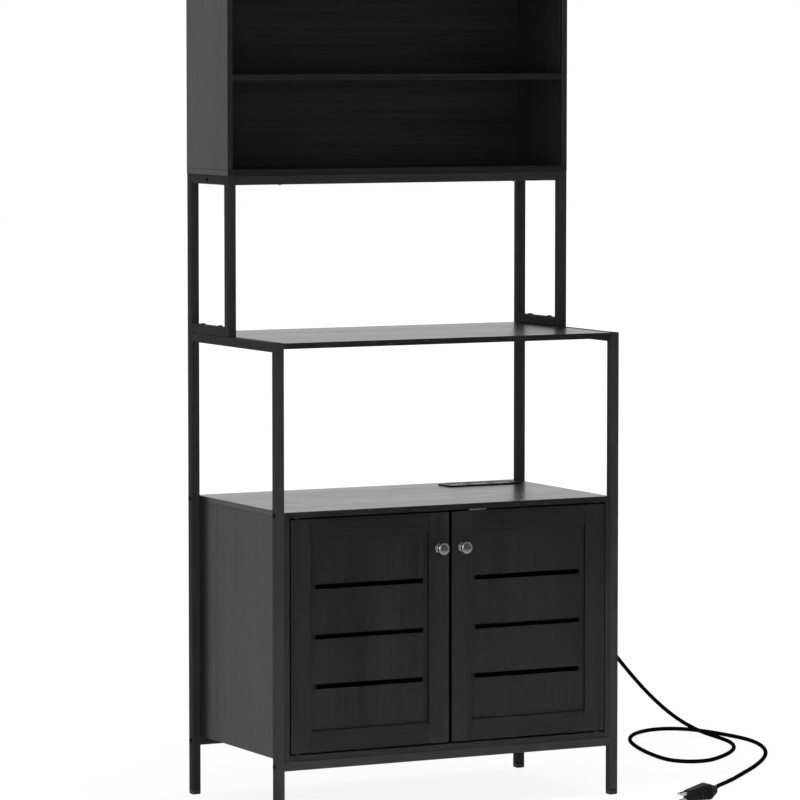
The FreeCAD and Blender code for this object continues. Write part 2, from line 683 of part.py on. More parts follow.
def hutch_box():
    bottom = keep(eased_board("hutch_bottom", (-half, hutch_front, s.hutch_frame_height),
                        (half, back_face, bay_floor)))
    mouths = [(sign * screw_x, y + s.tube / 2, s.hutch_frame_height)
              for y in hutch_post_y.values() for _, sign in SIDES]
    drill(bottom, 2, s.screw_hole, mouths, depth=s.screw_grip + s.hole_end, inwards=1)
    for side, sign in SIDES:
        x = ordered(sign * hutch_inside, sign * half)
        keep(eased_board(f"hutch_side_{side}", (x[0], hutch_front, bay_floor),
                   (x[1], back_face, hutch_top_under), SIDEWAYS))
    keep(eased_board("hutch_shelf", (-hutch_inside, hutch_front, hutch_shelf_under),
               (hutch_inside, back_face, hutch_shelf_under + s.sheet_board)))
    keep(eased_board("hutch_top", (-half, hutch_front, hutch_top_under), (half, back_face, overall_height)))
    keep(board("hutch_back", (-half, back_face, s.hutch_frame_height), (half, rear, overall_height), FACING))
    brackets = []
    for side, sign in SIDES:
        for end, y in (("front", hutch_front + s.bracket_front), ("rear", back_face - s.bracket_rear)):
            spot = (sign * hutch_inside, y + s.bracket_width / 2, hutch_top_under)
            body = new_body(f"top_bracket_{end}_{side}", spot, FACING)
            sketch = new_sketch(body)
            leg, sheet = s.bracket_leg, s.bracket_sheet
            polygon(sketch, [(0, 0), (0, -leg), (-sign * sheet, -leg), (-sign * sheet, -sheet),
                             (-sign * leg, -sheet), (-sign * leg, 0)])
            pad(body, sketch, s.bracket_width)
            brackets.append(body)
    group("top_brackets", brackets)


def door(side, sign):
    """One slotted door: stiles and rails round a panel in grooves, with knob, pivots and strike."""
    outer = sign * (cabin_inside - s.door_side_gap)
    inner = sign * s.door_middle_gap / 2
    opening = ordered(outer - sign * s.stile_width, inner + sign * s.stile_width)
    door_rear = front + s.door_thickness
    rail_edges = (door_low + s.rail_width, door_high - s.rail_width)
    groove_lift = s.door_thickness - s.panel_recess + s.groove_slack
    groove = s.panel_sheet + 2 * s.groove_slack

    def framed(label, x, z, groove_box):
        body = eased_board(label, (x[0], front, z[0]), (x[1], door_rear, z[1]), FACING)
        sketch = new_sketch(body, lift=groove_lift)
        rectangle(sketch, *groove_box)
        cut(body, sketch, groove)
        return body

    height = door_high - door_low
    start, end = 0, s.stile_width - s.groove_depth
    hinge_groove, lock_groove = (start, end) if sign > 0 else (end, start)
    hinge_stile = framed(f"door_{side}_hinge_stile", ordered(outer, outer - sign * s.stile_width),
                         (door_low, door_high), (hinge_groove, 0, s.groove_depth, height))
    lock_stile = framed(f"door_{side}_lock_stile", ordered(inner, inner + sign * s.stile_width),
                        (door_low, door_high), (lock_groove, 0, s.groove_depth, height))
    x, y = sign * pivot_x, pivot_y
    pin_hole = s.pivot_pin + 2 * s.pivot_clearance
    pivots = []
    for end_name, level, way, turn in (("lower", door_low, 1, HANGING), ("upper", door_high, -1, LYING)):
        drill(hinge_stile, 2, pin_hole, [(x, y, level)], depth=s.pivot_grip + s.hole_end, inwards=way)
        pivots.append(pivot_pin(f"door_{side}_pivot_{end_name}", (x, y, level), turn))
    knob_x = inner + sign * s.stile_width / 2
    drill(lock_stile, 1, s.screw_hole, [(knob_x, front, knob_level)])
    group(f"door_{side}_stiles", [hinge_stile, lock_stile])
    width = opening[1] - opening[0]
    rails = [framed(f"door_{side}_rail_lower", opening, (door_low, rail_edges[0]),
                    (0, s.rail_width - s.groove_depth, width, s.groove_depth)),
             framed(f"door_{side}_rail_upper", opening, (rail_edges[1], door_high),
                    (0, 0, width, s.groove_depth))]
    group(f"door_{side}_rails", rails)
    slotted_panel(side, opening, rail_edges)
    knob(f"door_{side}_knob", knob_x)
    group(f"door_{side}_pivots", pivots)
    strike_high = door_high - s.edge_setback
    middle = sign * s.catch_offset
    keep(board(f"door_{side}_strike",
               (middle - s.strike_width / 2, door_rear, strike_high - s.strike_height),
               (middle + s.strike_width / 2, door_rear + s.strike_sheet, strike_high), FACING))


def slotted_panel(side, opening, rail_edges):
    tongue = s.groove_depth - s.groove_slack
    panel_rear = front + s.panel_recess + s.panel_sheet
    low = (opening[0] - tongue, front + s.panel_recess, rail_edges[0] - tongue)
    high = (opening[1] + tongue, panel_rear, rail_edges[1] + tongue)
    body = keep(board(f"door_{side}_panel", low, high, FACING))
    middle_z = (rail_edges[0] + rail_edges[1]) / 2 - s.slot_drop - low[2]
    sketch = new_sketch(body)
    for row in (-1, 0, 1):
        rectangle(sketch, tongue + s.slot_margin, middle_z + row * s.slot_pitch - s.slot_height / 2,
                  opening[1] - opening[0] - 2 * s.slot_margin, s.slot_height)
    cut(body, sketch)


def knob(label, x):
    """A turned knob with a flat foot, a waist and a thick head, its stem through the stile."""
    stem, base, neck, head = s.screw / 2, s.knob_base / 2, s.knob_neck / 2, s.knob_head / 2
    body = keep(revolved(label, (x, front, knob_level), FACING, [
        (0, -s.knob_stem), (stem, -s.knob_stem), (stem, 0), (base, 0), (base, s.knob_foot),
        (neck, s.knob_waist), (neck, s.knob_flare), (head, s.knob_rim), (head, s.knob_projection),
        (0, s.knob_projection)]))
    for level, radius in ((s.knob_projection, s.knob_crown), (s.knob_rim, s.knob_round)):
        round_edges(body, radius, lambda edge: at_level(edge, level.number)
                    and abs(edge.BoundBox.XMax - head.number) < 1e-3)


def pivot_pin(label, spot, turn):
    """A pivot pin that points out of the end of the stile, with a collar at the stile."""
    body = new_body(label, spot, turn)
    pin = new_sketch(body, lift=-s.pivot_grip)
    circle(pin, 0, 0, s.pivot_pin)
    pad(body, pin, s.pivot_grip + s.door_end_gap + s.pivot_reach)
    collar = new_sketch(body)
    circle(collar, 0, 0, s.pivot_collar)
    pad(body, collar, s.door_end_gap - s.bush_flange_height - s.pin_seat_gap)
    return body


def door_fittings():
    """What the doors turn in and close against: pivot bushes, magnetic catches and their poles."""
    bushes, catches, poles = [], [], []
    for side, sign in SIDES:
        for end, level, turn in (("lower", cabin_floor, LYING), ("upper", work_under, HANGING)):
            bush = new_body(f"pivot_bush_{end}_{side}", (sign * pivot_x, pivot_y, level), turn)
            flange = new_sketch(bush)
            circle(flange, 0, 0, s.bush_flange)
            pad(bush, flange, s.bush_flange_height)
            barrel = new_sketch(bush)
            circle(barrel, 0, 0, s.bush_barrel)
            pad(bush, barrel, s.bush_depth, reverse=True)
            bore = new_sketch(bush)
            circle(bore, 0, 0, s.pivot_pin + 2 * s.pivot_clearance)
            cut(bush, bore)
            bushes.append(bush)
        pole_front = front + s.door_thickness + s.strike_sheet + s.strike_gap
        catch_front = pole_front + s.pole_sheet
        catch_low = work_under - s.catch_height
        middle = sign * s.catch_offset
        catches.append(board(f"catch_{side}", (middle - s.catch_width / 2, catch_front, catch_low),
                             (middle + s.catch_width / 2, catch_front + s.catch_depth, work_under)))
        for row in (-1, 1):
            x = middle + row * s.pole_pitch / 2
            poles.append(board(f"catch_pole_{side}_{row + 1}", (x - s.pole_width / 2, pole_front, catch_low),
                               (x + s.pole_width / 2, catch_front, work_under), FACING))
    group("pivot_bushes", bushes)
    group("magnetic_catches", catches)
    group("catch_poles", poles)


def power_strip():
    """The recessed strip: an open housing, a bezel on the worktop and three socket modules."""
    inset = s.strip_flange + s.housing_gap
    housing_low = s.work_height - s.housing_height
    housing = keep(board("power_housing", (strip_left + inset, strip_front + inset, housing_low),
                         (strip_right - inset, housing_rear, s.work_height)))
    inside = new_sketch(housing, lift=s.housing_height)
    rectangle(inside, s.housing_wall, s.housing_wall, s.strip_length - 2 * inset - 2 * s.housing_wall,
              s.strip_width - 2 * inset - 2 * s.housing_wall)
    cut(housing, inside, s.housing_height - s.housing_wall)

    bezel_top = s.work_height + s.strip_rise
    bezel = keep(board("power_bezel", (strip_left, strip_front, s.work_height),
                       (strip_right, strip_rear, bezel_top)))
    round_edges(bezel, s.strip_corner, lambda edge: runs_along(edge, 2))
    round_edges(bezel, s.strip_edge, lambda edge: at_level(edge, s.strip_rise.number))
    window = s.socket_size + 2 * s.insert_clearance
    windows = new_sketch(bezel)
    offsets = (-s.socket_pitch, 0 * s.socket_pitch, s.socket_pitch)
    for offset in offsets:
        left, near = (s.strip_length - window) / 2 + offset, (s.strip_width - window) / 2
        rectangle(windows, left, near, window, window)
    cut(bezel, windows)

    modules = []
    for row, offset in enumerate(offsets):
        x = (strip_left + strip_right) / 2 + offset - s.socket_size / 2
        y = (strip_front + strip_rear) / 2 - s.socket_size / 2
        top = bezel_top - s.socket_sink
        module = board(f"socket_{row + 1}", (x, y, top - s.socket_height),
                       (x + s.socket_size, y + s.socket_size, top))
        holes = new_sketch(module, lift=s.socket_height)
        middle = s.socket_size / 2
        if row < 2:
            for side in (-1, 1):
                left = middle + side * s.blade_pitch / 2 - s.socket_slot / 2
                near = middle + s.earth_pitch / 2 - s.socket_slot_length / 2
                rectangle(holes, left, near, s.socket_slot, s.socket_slot_length)
            circle(holes, middle, middle - s.earth_pitch / 2, s.socket_earth)
        else:
            for port in (-1, 0, 1):
                rectangle(holes, middle - s.port_width / 2, middle + port * s.port_pitch - s.port_height / 2,
                          s.port_width, s.port_height)
        cut(module, holes, s.socket_hole_depth)
        modules.append(module)
    group("power_sockets", modules)

    foot, tip = s.gland_foot / 2, s.gland_tip / 2
    keep(revolved("cord_gland", (gland_x, housing_rear, gland_z), REARWARDS, [
        (0, 0), (foot, 0), (foot, s.gland_flange), (tip, s.gland_length), (0, s.gland_length)]))


def cord_points():
    """The route, moved to where the gland ends; only what hangs stretches with the gland's height."""
    start = V(gland_x.number, (housing_rear + s.gland_length).number, gland_z.number)
    first = V(*CORD_ROUTE[0])
    stretch = (start.z - HANG) / (first.z - HANG)
    moved = []
    for x, y, z in CORD_ROUTE:
        height = HANG + (z - HANG) * stretch if z > HANG else z
        moved.append(V(x + start.x - first.x, y + start.y - first.y, height))
    return moved


def power_cord():
    """One tube along the route: straight runs joined by tangent arcs as large as the runs allow."""
    points = cord_points()
    edges, radii, length = [], [], 0
    here = points[0]
    for before, corner, after in zip(points, points[1:], points[2:]):
        arriving = (corner - before).normalize()
        leaving = (after - corner).normalize()
        turn = arriving.getAngle(leaving)
        trim = CORNER_SHARE * min(corner.distanceToPoint(before), corner.distanceToPoint(after))
        radius = trim / math.tan(turn / 2)
        start, end = corner - arriving * trim, corner + leaving * trim
        inwards = (leaving - arriving).normalize()
        crown = corner + inwards * (radius / math.cos(turn / 2) - radius)
        edges.append(Part.LineSegment(here, start).toShape())
        edges.append(Part.Arc(start, crown, end).toShape())
        length += here.distanceToPoint(start) + radius * turn
        radii.append(radius)
        here = end
    edges.append(Part.LineSegment(here, points[-1]).toShape())
    length += here.distanceToPoint(points[-1])
    path = Part.Wire(edges)
    section = Part.Circle(points[0], (points[1] - points[0]).normalize(), s.cord.number / 2)
    sweep = Part.BRepOffsetAPI.MakePipeShell(path)
    sweep.add(Part.Wire([section.toShape()]))
    sweep.build()
    sweep.makeSolid()
    solid = sweep.shape()
    expected = math.pi * (s.cord.number / 2) ** 2 * length
    print(f"cord: {length:.0f} mm, radii", " ".join(f"{radius:.0f}" for radius in radii))
    print(f"cord: volume {solid.Volume:.0f}, section times length {expected:.0f}")
    cord = doc.addObject("Part::Feature", "power_cord")
    cord.Label = "power_cord"
    cord.Shape = solid
    keep(cord)


def plug():
    """The moulded plug, bent off the cord: sleeve, swelling and sloping body, two blades and a round pin."""
    tail, tip = cord_points()[-2:]
    along = V(tip.x - tail.x, tip.y - tail.y, 0).normalize()
    up = V(0, 0, 1)
    turn = FreeCAD.Rotation(up.cross(along), up, along, "ZYX")
    bend = FreeCAD.Rotation(V(0, 1, 0), PLUG_TURN) * FreeCAD.Rotation(V(1, 0, 0), PLUG_DRAFT)
    ahead = bend.multVec(V(0, 0, 1))

    body = revolved("plug_body", tip, turn, [
        (0, 0), (s.gland_tip / 2, 0), (s.plug_relief_root / 2, s.plug_relief), (0, s.plug_relief)])

    def section(level, width, height):
        sketch = new_sketch(body)
        sketch.AttachmentOffset = FreeCAD.Placement(V(0, 0, 0), bend)
        bind(sketch, AttachmentOffset__Base__x=level * ahead.x, AttachmentOffset__Base__y=level * ahead.y,
             AttachmentOffset__Base__z=s.plug_bend + level * ahead.z)
        rectangle(sketch, -width / 2, -height / 2, width, height)
        return sketch

    neck = section(0 * s.plug_taper, s.plug_neck, s.plug_neck)
    shoulder = section(s.plug_taper, s.plug_width, s.plug_thickness)
    loft = body.newObject("PartDesign::AdditiveLoft", "plug_swell")
    loft.Profile = neck
    loft.Sections = [shoulder]
    loft.Ruled = True
    doc.recompute()
    grip = pad(body, section(s.plug_taper, s.plug_width, s.plug_thickness), s.plug_body_length)
    grip.TaperAngle = -PLUG_DRAFT
    doc.recompute()
    slanted = s.plug_body_length.number * math.hypot(1, math.sqrt(2) * math.tan(math.radians(PLUG_DRAFT)))
    round_edges(body, s.plug_round, lambda edge: abs(edge.Length - slanted) < 1e-3)
    keep(body)

    face = s.plug_taper + s.plug_body_length
    start = tip + along * s.plug_bend.number
    pins = []
    blade_y = s.earth_pitch / 2
    for side in (-1, 1):
        blade = new_body(f"plug_blade_{side + 1}", start, turn * bend)
        sketch = new_sketch(blade, lift=face)
        rectangle(sketch, side * s.blade_pitch / 2 - s.blade_sheet / 2, blade_y - s.blade_width / 2,
                  s.blade_sheet, s.blade_width)
        pad(blade, sketch, s.blade_length)
        pins.append(blade)
    earth = new_body("plug_earth", start, turn * bend)
    sketch = new_sketch(earth, lift=face)
    circle(sketch, 0, -blade_y, s.earth_pin)
    pad(earth, sketch, s.blade_length + s.earth_lead)
    pins.append(earth)
    group("plug_pins", pins)


def write_parts():
    """Check every object, then write one file for each node."""
    doc.recompute()
    failed = [item.Label for item in doc.Objects if {"Invalid", "Error"} & set(item.State)]
    failed += [piece.Label for piece in nodes if piece.Shape.isNull() or not piece.Shape.isValid()]
    if failed:
        raise RuntimeError("failed: " + ", ".join(failed))
    os.makedirs("parts", exist_ok=True)
    for piece in nodes:
        piece.Shape.exportStep(f"parts/{piece.Label}.step")
    print(len(nodes), "nodes,", sum(len(piece.Shape.Solids) for piece in nodes), "solids")


lower_frame()
upper_frame()
worktop()
mid_shelf()
cabinet()
hutch_box()
for door_side, door_sign in SIDES:
    door(door_side, door_sign)
door_fittings()
power_strip()
power_cord()
plug()
write_parts()
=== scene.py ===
import logging
import math
from dataclasses import dataclass
from enum import Enum
from typing import Callable, Iterable, Sequence

import bmesh
import bpy
from mathutils import Matrix, Vector


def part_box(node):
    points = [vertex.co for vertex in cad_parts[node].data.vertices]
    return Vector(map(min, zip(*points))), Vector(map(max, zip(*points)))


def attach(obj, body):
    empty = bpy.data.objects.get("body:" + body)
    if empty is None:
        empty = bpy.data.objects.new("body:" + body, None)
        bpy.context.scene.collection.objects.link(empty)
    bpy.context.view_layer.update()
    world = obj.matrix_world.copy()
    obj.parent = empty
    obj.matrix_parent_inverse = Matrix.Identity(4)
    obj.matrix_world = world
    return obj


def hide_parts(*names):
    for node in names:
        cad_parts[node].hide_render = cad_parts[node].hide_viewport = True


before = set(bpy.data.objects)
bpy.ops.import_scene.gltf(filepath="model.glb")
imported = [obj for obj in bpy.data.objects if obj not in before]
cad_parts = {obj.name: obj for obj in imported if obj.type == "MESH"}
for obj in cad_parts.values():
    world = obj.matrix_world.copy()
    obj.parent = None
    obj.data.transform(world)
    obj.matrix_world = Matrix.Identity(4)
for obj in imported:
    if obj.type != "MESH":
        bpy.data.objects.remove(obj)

LOG = logging.getLogger("coffee_station")
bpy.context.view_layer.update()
MM = 0.001
WHITE = (1, 1, 1, 1)
CAMERA_RAY = "Is Camera Ray"
# Rays that show a background: from the camera, and by way of mirrors and glass.
SEEN_RAYS = (CAMERA_RAY, "Is Glossy Ray", "Is Transmission Ray")
# Most values of a noise lie between these.
NOISE_BODY = (0.3, 0.7)
# Points on a turned ring, where a piece doesn't need more or fewer.
ROUND = 48

Colour = tuple[float, float, float]
Spot = tuple[float, float, float]
Span = tuple[float, float]
Profile = Sequence[Span]
Outline = Callable[[float], float]
Socket = bpy.types.NodeSocket


class Side(Enum):
    """A side of the object, with its sign along X."""

    LEFT = -1
    RIGHT = 1


class Grain(Enum):
    """The object's axis along which a board's grain runs."""

    ACROSS = 0
    UPRIGHT = 2


class Drive(Enum):
    """The recess in a fastener's head."""

    HEX = "hex"
    CROSS = "cross"


class Wiring:
    """A shader's node tree in the making, with the few nodes that finishes and the studio share."""

    def __init__(self, tree: bpy.types.NodeTree) -> None:
        """Take over a node tree."""
        self.tree = tree

    def node(self, kind: str, inputs: dict | None = None, **settings: object) -> bpy.types.Node:
        """Add a node.

        Args:
            kind: the node's type name.
            inputs: values or sockets for its inputs, by name or index.
            settings: properties of the node itself.

        Returns:
            The new node.
        """
        made = self.tree.nodes.new(kind)
        for key, value in settings.items():
            setattr(made, key, value)
        for key, value in (inputs or {}).items():
            if isinstance(value, Socket):
                self.tree.links.new(value, made.inputs[key])
            else:
                made.inputs[key].default_value = value
        return made

    def maths(self, operation: str, first: Socket, second: Socket | float = 0.0) -> Socket:
        """The result of an operation on one or two values."""
        return self.node("ShaderNodeMath", {0: first, 1: second}, operation=operation).outputs[0]

    def axis(self, coordinates: str, name: str) -> Socket:
        """One axis of the texture coordinates.

        Args:
            coordinates: which ones, such as Object.
            name: X, Y or Z.

        Returns:
            The place along that axis.
        """
        found = self.node("ShaderNodeTexCoord").outputs[coordinates]
        return self.node("ShaderNodeSeparateXYZ", {0: found}).outputs[name]

    def spread(self, value: Socket, low: float, high: float, bottom: float = 0.0, top: float = 1.0,
               **settings: object) -> Socket:
        """Map the part of a value between two limits to a new range, clamped.

        Args:
            value: what is mapped.
            low: value that becomes bottom.
            high: value that becomes top.
            bottom: one end of the new range.
            top: its other end.
            settings: properties of the node that maps.

        Returns:
            The mapped value.
        """
        inputs = {0: value, 1: low, 2: high, 3: bottom, 4: top}
        return self.node("ShaderNodeMapRange", inputs, **settings).outputs[0]

    def rays(self, *kinds: str) -> Socket:
        """One for rays of the given kinds, and zero for all others.

        Args:
            kinds: outputs of the light path.

        Returns:
            The factor.
        """
        path = self.node("ShaderNodeLightPath")
        total = path.outputs[kinds[0]]
        for kind in kinds[1:]:
            total = self.maths("MAXIMUM", total, path.outputs[kind])
        return total

    def mixed(self, factor: Socket, first: Socket, second: Socket) -> Socket:
        """A shader between two, where a factor of 0 gives the first."""
        return self.node("ShaderNodeMixShader", {0: factor, 1: first, 2: second}).outputs[0]

    def show(self, shader: Socket, output: str) -> None:
        """Make a shader the result of the tree, at the output node of that name."""
        self.tree.links.new(shader, self.tree.nodes[output].inputs[0])


class Recipe(Wiring):
    """A material in the making."""

    def __init__(self, name: str) -> None:
        """Start an empty material.

        Args:
            name: the material's name.
        """
        self.material = bpy.data.materials.new(name)
        self.material.use_nodes = True
        super().__init__(self.material.node_tree)
        self.surface = self.tree.nodes["Principled BSDF"]

    def feed(self, **sockets: Socket) -> None:
        """Link sockets to the surface's inputs, with underscores for the spaces in their names."""
        for key, socket in sockets.items():
            self.tree.links.new(socket, self.surface.inputs[key.replace("_", " ")])

    def settle(self, **values: float) -> None:
        """Set constants on the surface's own inputs, with underscores for the spaces in their names."""
        for key, value in values.items():
            self.surface.inputs[key.replace("_", " ")].default_value = value

    def places(self, scale: Sequence[float] = (1, 1, 1)) -> Socket:
        """Object coordinates, stretched by a factor for each axis."""
        found = self.node("ShaderNodeTexCoord").outputs["Object"]
        return self.node("ShaderNodeMapping", {"Vector": found, "Scale": scale}).outputs[0]

    def noise(self, places: Socket, scale: float = 1.0, detail: float = 3.0,
              roughness: float = 0.55) -> Socket:
        """A noise between 0 and 1.

        Args:
            places: coordinates.
            scale: lumps for each unit of the coordinates.
            detail: octaves.
            roughness: weight of the finer octaves.

        Returns:
            The noise's value.
        """
        inputs = {"Vector": places, "Scale": scale, "Detail": detail, "Roughness": roughness}
        return self.node("ShaderNodeTexNoise", inputs).outputs[0]

    def between(self, factor: Socket, first: Colour | Socket, second: Colour | Socket) -> Socket:
        """A colour between two.

        Args:
            factor: 0 gives the first colour and 1 the second.
            first: a colour or a socket that carries one.
            second: another.

        Returns:
            The mixed colour.
        """
        inputs: dict = {"Factor": factor}
        for key, colour in (("A", first), ("B", second)):
            inputs[key] = colour if isinstance(colour, Socket) else (*colour, 1)
        return self.node("ShaderNodeMix", inputs, data_type="RGBA").outputs["Result"]

    def facing(self, low: float, high: float) -> Socket:
        """How squarely a surface looks along the object's Y axis, to the front or to the rear.

        Args:
            low: part of the normal along Y up to which the answer is 0.
            high: part from which it is 1.

        Returns:
            A value between 0 and 1.
        """
        return self.spread(self.maths("ABSOLUTE", self.axis("Normal", "Y")), low, high)

    def bump(self, height: Socket, depth: float, over: Socket | None = None) -> Socket:
        """Relief from a height.

        Args:
            height: value between 0 and 1.
            depth: what 1 stands for, in metres.
            over: relief that this one lies on.

        Returns:
            The bumped normal.
        """
        inputs: dict = {"Height": height, "Distance": depth, "Strength": 1.0}
        if over is not None:
            inputs["Normal"] = over
        return self.node("ShaderNodeBump", inputs).outputs[0]


@dataclass(frozen=True)
class Finish:
    """What a surface is made of: its colour, its gloss and, in each kind, its fine detail."""

    name: str
    colour: Colour
    roughness: float
    metallic: float = 0.0
    shine: float = 0.5
    tones: Span = (0.8, 1.2)
    gloss: Span = (-0.05, 0.06)

    def toned(self, factor: float) -> Colour:
        """The finish's colour, made lighter or darker by a factor."""
        return tuple(min(1.0, channel * factor) for channel in self.colour)

    def material(self) -> bpy.types.Material:
        """The finish's material, made the first time it is asked for.

        Returns:
            The material.
        """
        found = bpy.data.materials.get(self.name)
        if found is not None:
            return found
        recipe = Recipe(self.name)
        recipe.settle(Metallic=self.metallic, Specular_IOR_Level=self.shine)
        self.detail(recipe)
        return recipe.material

    def detail(self, recipe: Recipe) -> None:
        """Give the material its colour variation, gloss and relief.

        Args:
            recipe: the material in the making.
        """
        raise NotImplementedError

    def drifting(self, recipe: Recipe, drift: Socket, relief: Socket, shade: Socket | None = None) -> None:
        """Let colour and gloss drift over a relief.

        Args:
            recipe: the material in the making.
            drift: a noise.
            relief: the bumped normal.
            shade: what mixes the tones, if not the drift.
        """
        darker, lighter = (self.toned(factor) for factor in self.tones)
        rough = [self.roughness + change for change in self.gloss]
        recipe.feed(Base_Color=recipe.between(drift if shade is None else shade, darker, lighter),
                    Roughness=recipe.spread(drift, *NOISE_BODY, *rough), Normal=relief)


@dataclass(frozen=True)
class PowderCoat(Finish):
    """Baked powder paint: a fine orange peel with slight drifts of tone."""

    tones: Span = (0.82, 1.2)
    gloss: Span = (-0.05, 0.05)
    peel: float = 0.00012
    peel_scale: float = 520.0
    grit_scale: float = 2600.0
    grit_share: float = 0.25
    drift_scale: float = 14.0
    contrast: Span = (0.7, 1.3)

    def detail(self, recipe: Recipe) -> None:
        """Peel, fine grit and slow drifts of colour and gloss.

        Args:
            recipe: the material in the making.
        """
        places = recipe.places()
        drift = recipe.noise(places, self.drift_scale)
        grit = recipe.noise(places, self.grit_scale, detail=2)
        peel = recipe.noise(places, self.peel_scale, roughness=0.5)
        shade = recipe.spread(recipe.maths("ADD", drift, grit), *self.contrast)
        relief = recipe.bump(peel, self.peel, recipe.bump(grit, self.peel * self.grit_share))
        self.drifting(recipe, drift, relief, shade)


@dataclass(frozen=True)
class WoodGrain(Finish):
    """Black laminate pressed with an open wood grain: streaks, slow figure and short pores.

    Figure, streaks and pores each give their lumps for a metre along the grain and across it. Where a finish
    darkens its edges, faces that don't look to the front or rear take a share of the colour: painted shade
    in slots, grooves and gaps.
    """

    tones: Span = (0.66, 1.42)
    gloss: Span = (0.04, -0.04)
    grain: Grain = Grain.UPRIGHT
    # Painted shade: share of the colour on faces that don't look to the front or rear (1 for none), and the
    # part of the normal along Y over which it gives way to the full colour.
    edge_painted_shade: float = 1.0
    edge_shade_turn: Span = (0.3, 0.8)
    figure: Span = (1.1, 17.0)
    streaks: Span = (2.6, 190.0)
    pores: Span = (12.0, 1100.0)
    figure_share: float = 0.42
    contrast: Span = (0.34, 0.66)
    pore_limits: Span = (0.53, 0.66)
    pore_depth: float = 0.00005
    pore_cover: float = 0.55
    pore_tone: float = 0.3
    pore_dulling: float = 0.14

    def stretched(self, recipe: Recipe, along: float, across: float) -> Socket:
        """Coordinates stretched along the grain.

        Args:
            recipe: the material in the making.
            along: lumps for each metre along the grain.
            across: lumps for each metre across it.

        Returns:
            The stretched coordinates.
        """
        scale = [across, across, across]
        scale[self.grain.value] = along
        return recipe.places(scale)

    def detail(self, recipe: Recipe) -> None:
        """Streaks over a slow figure, with pores that darken, dull and sink, and painted shade on faces that
        don't look to the front or rear.

        Args:
            recipe: the material in the making.
        """
        figure = recipe.noise(self.stretched(recipe, *self.figure), roughness=0.5)
        streak = recipe.noise(self.stretched(recipe, *self.streaks), detail=5, roughness=0.62)
        pores = recipe.noise(self.stretched(recipe, *self.pores), roughness=0.6)
        blend = recipe.node("ShaderNodeMix", {"Factor": self.figure_share, "A": streak, "B": figure})
        shade = recipe.spread(blend.outputs[0], *self.contrast)
        open_pore = recipe.spread(pores, *self.pore_limits)
        body = recipe.between(shade, *(self.toned(factor) for factor in self.tones))
        cover = recipe.spread(open_pore, 0, 1, 0, self.pore_cover)
        body = recipe.between(cover, body, self.toned(self.pore_tone))
        # Painted shade: darken the faces that don't look to the front or rear.
        if self.edge_painted_shade != 1.0:
            body = recipe.between(recipe.facing(*self.edge_shade_turn), self.toned(self.edge_painted_shade), body)
        rough = recipe.spread(shade, 0, 1, *(self.roughness + change for change in self.gloss))
        dulled = recipe.maths("ADD", recipe.spread(open_pore, 0, 1, 0, self.pore_dulling), rough)
        fine = recipe.bump(streak, self.pore_depth / 3)
        relief = recipe.bump(recipe.spread(open_pore, 0, 1, 1, 0), self.pore_depth, fine)
        recipe.feed(Base_Color=body, Roughness=dulled, Normal=relief)


@dataclass(frozen=True)
class Moulded(Finish):
    """Moulded plastic or rubber with a spark-eroded texture."""

    tones: Span = (0.85, 1.18)
    grit: float = 1900.0
    relief: float = 0.00006
    drift_scale: float = 45.0

    def detail(self, recipe: Recipe) -> None:
        """Fine texture with soft drifts of gloss.

        Args:
            recipe: the material in the making.
        """
        places = recipe.places()
        grit = recipe.noise(places, self.grit)
        drift = recipe.noise(places, self.drift_scale, detail=2)
        self.drifting(recipe, drift, recipe.bump(grit, self.relief))


@dataclass(frozen=True)
class TurnedMetal(Finish):
    """Plated metal off the lathe: fine rings round the piece's own Y axis."""

    ring_scale: float = 900.0
    ring_depth: float = 0.00001
    ring_wander: float = 0.6
    stain_scale: float = 120.0

    def detail(self, recipe: Recipe) -> None:
        """Turning rings in the relief, and a slow stain in the plating.

        Args:
            recipe: the material in the making.
        """
        places = recipe.places()
        inputs = {"Vector": places, "Scale": self.ring_scale, "Distortion": self.ring_wander, "Detail": 2,
                  "Detail Scale": 3}
        rings = recipe.node("ShaderNodeTexWave", inputs, wave_type="RINGS", rings_direction="Y")
        stain = recipe.noise(places, self.stain_scale)
        self.drifting(recipe, stain, recipe.bump(rings.outputs[1], self.ring_depth))


@dataclass(frozen=True)
class PlatedSteel(Finish):
    """Rolled and plated steel: fine scratches along Y and a mottled plating."""

    tones: Span = (0.78, 1.12)
    gloss: Span = (-0.07, 0.08)
    mottle_scale: float = 260.0
    scratches: Spot = (3200.0, 90.0, 3200.0)
    scratch_depth: float = 0.00002

    def detail(self, recipe: Recipe) -> None:
        """Mottle in the colour and gloss, with scratches along one axis.

        Args:
            recipe: the material in the making.
        """
        mottle = recipe.noise(recipe.places(), self.mottle_scale, detail=4)
        scratch = recipe.noise(recipe.places(self.scratches))
        self.drifting(recipe, mottle, recipe.bump(scratch, self.scratch_depth))


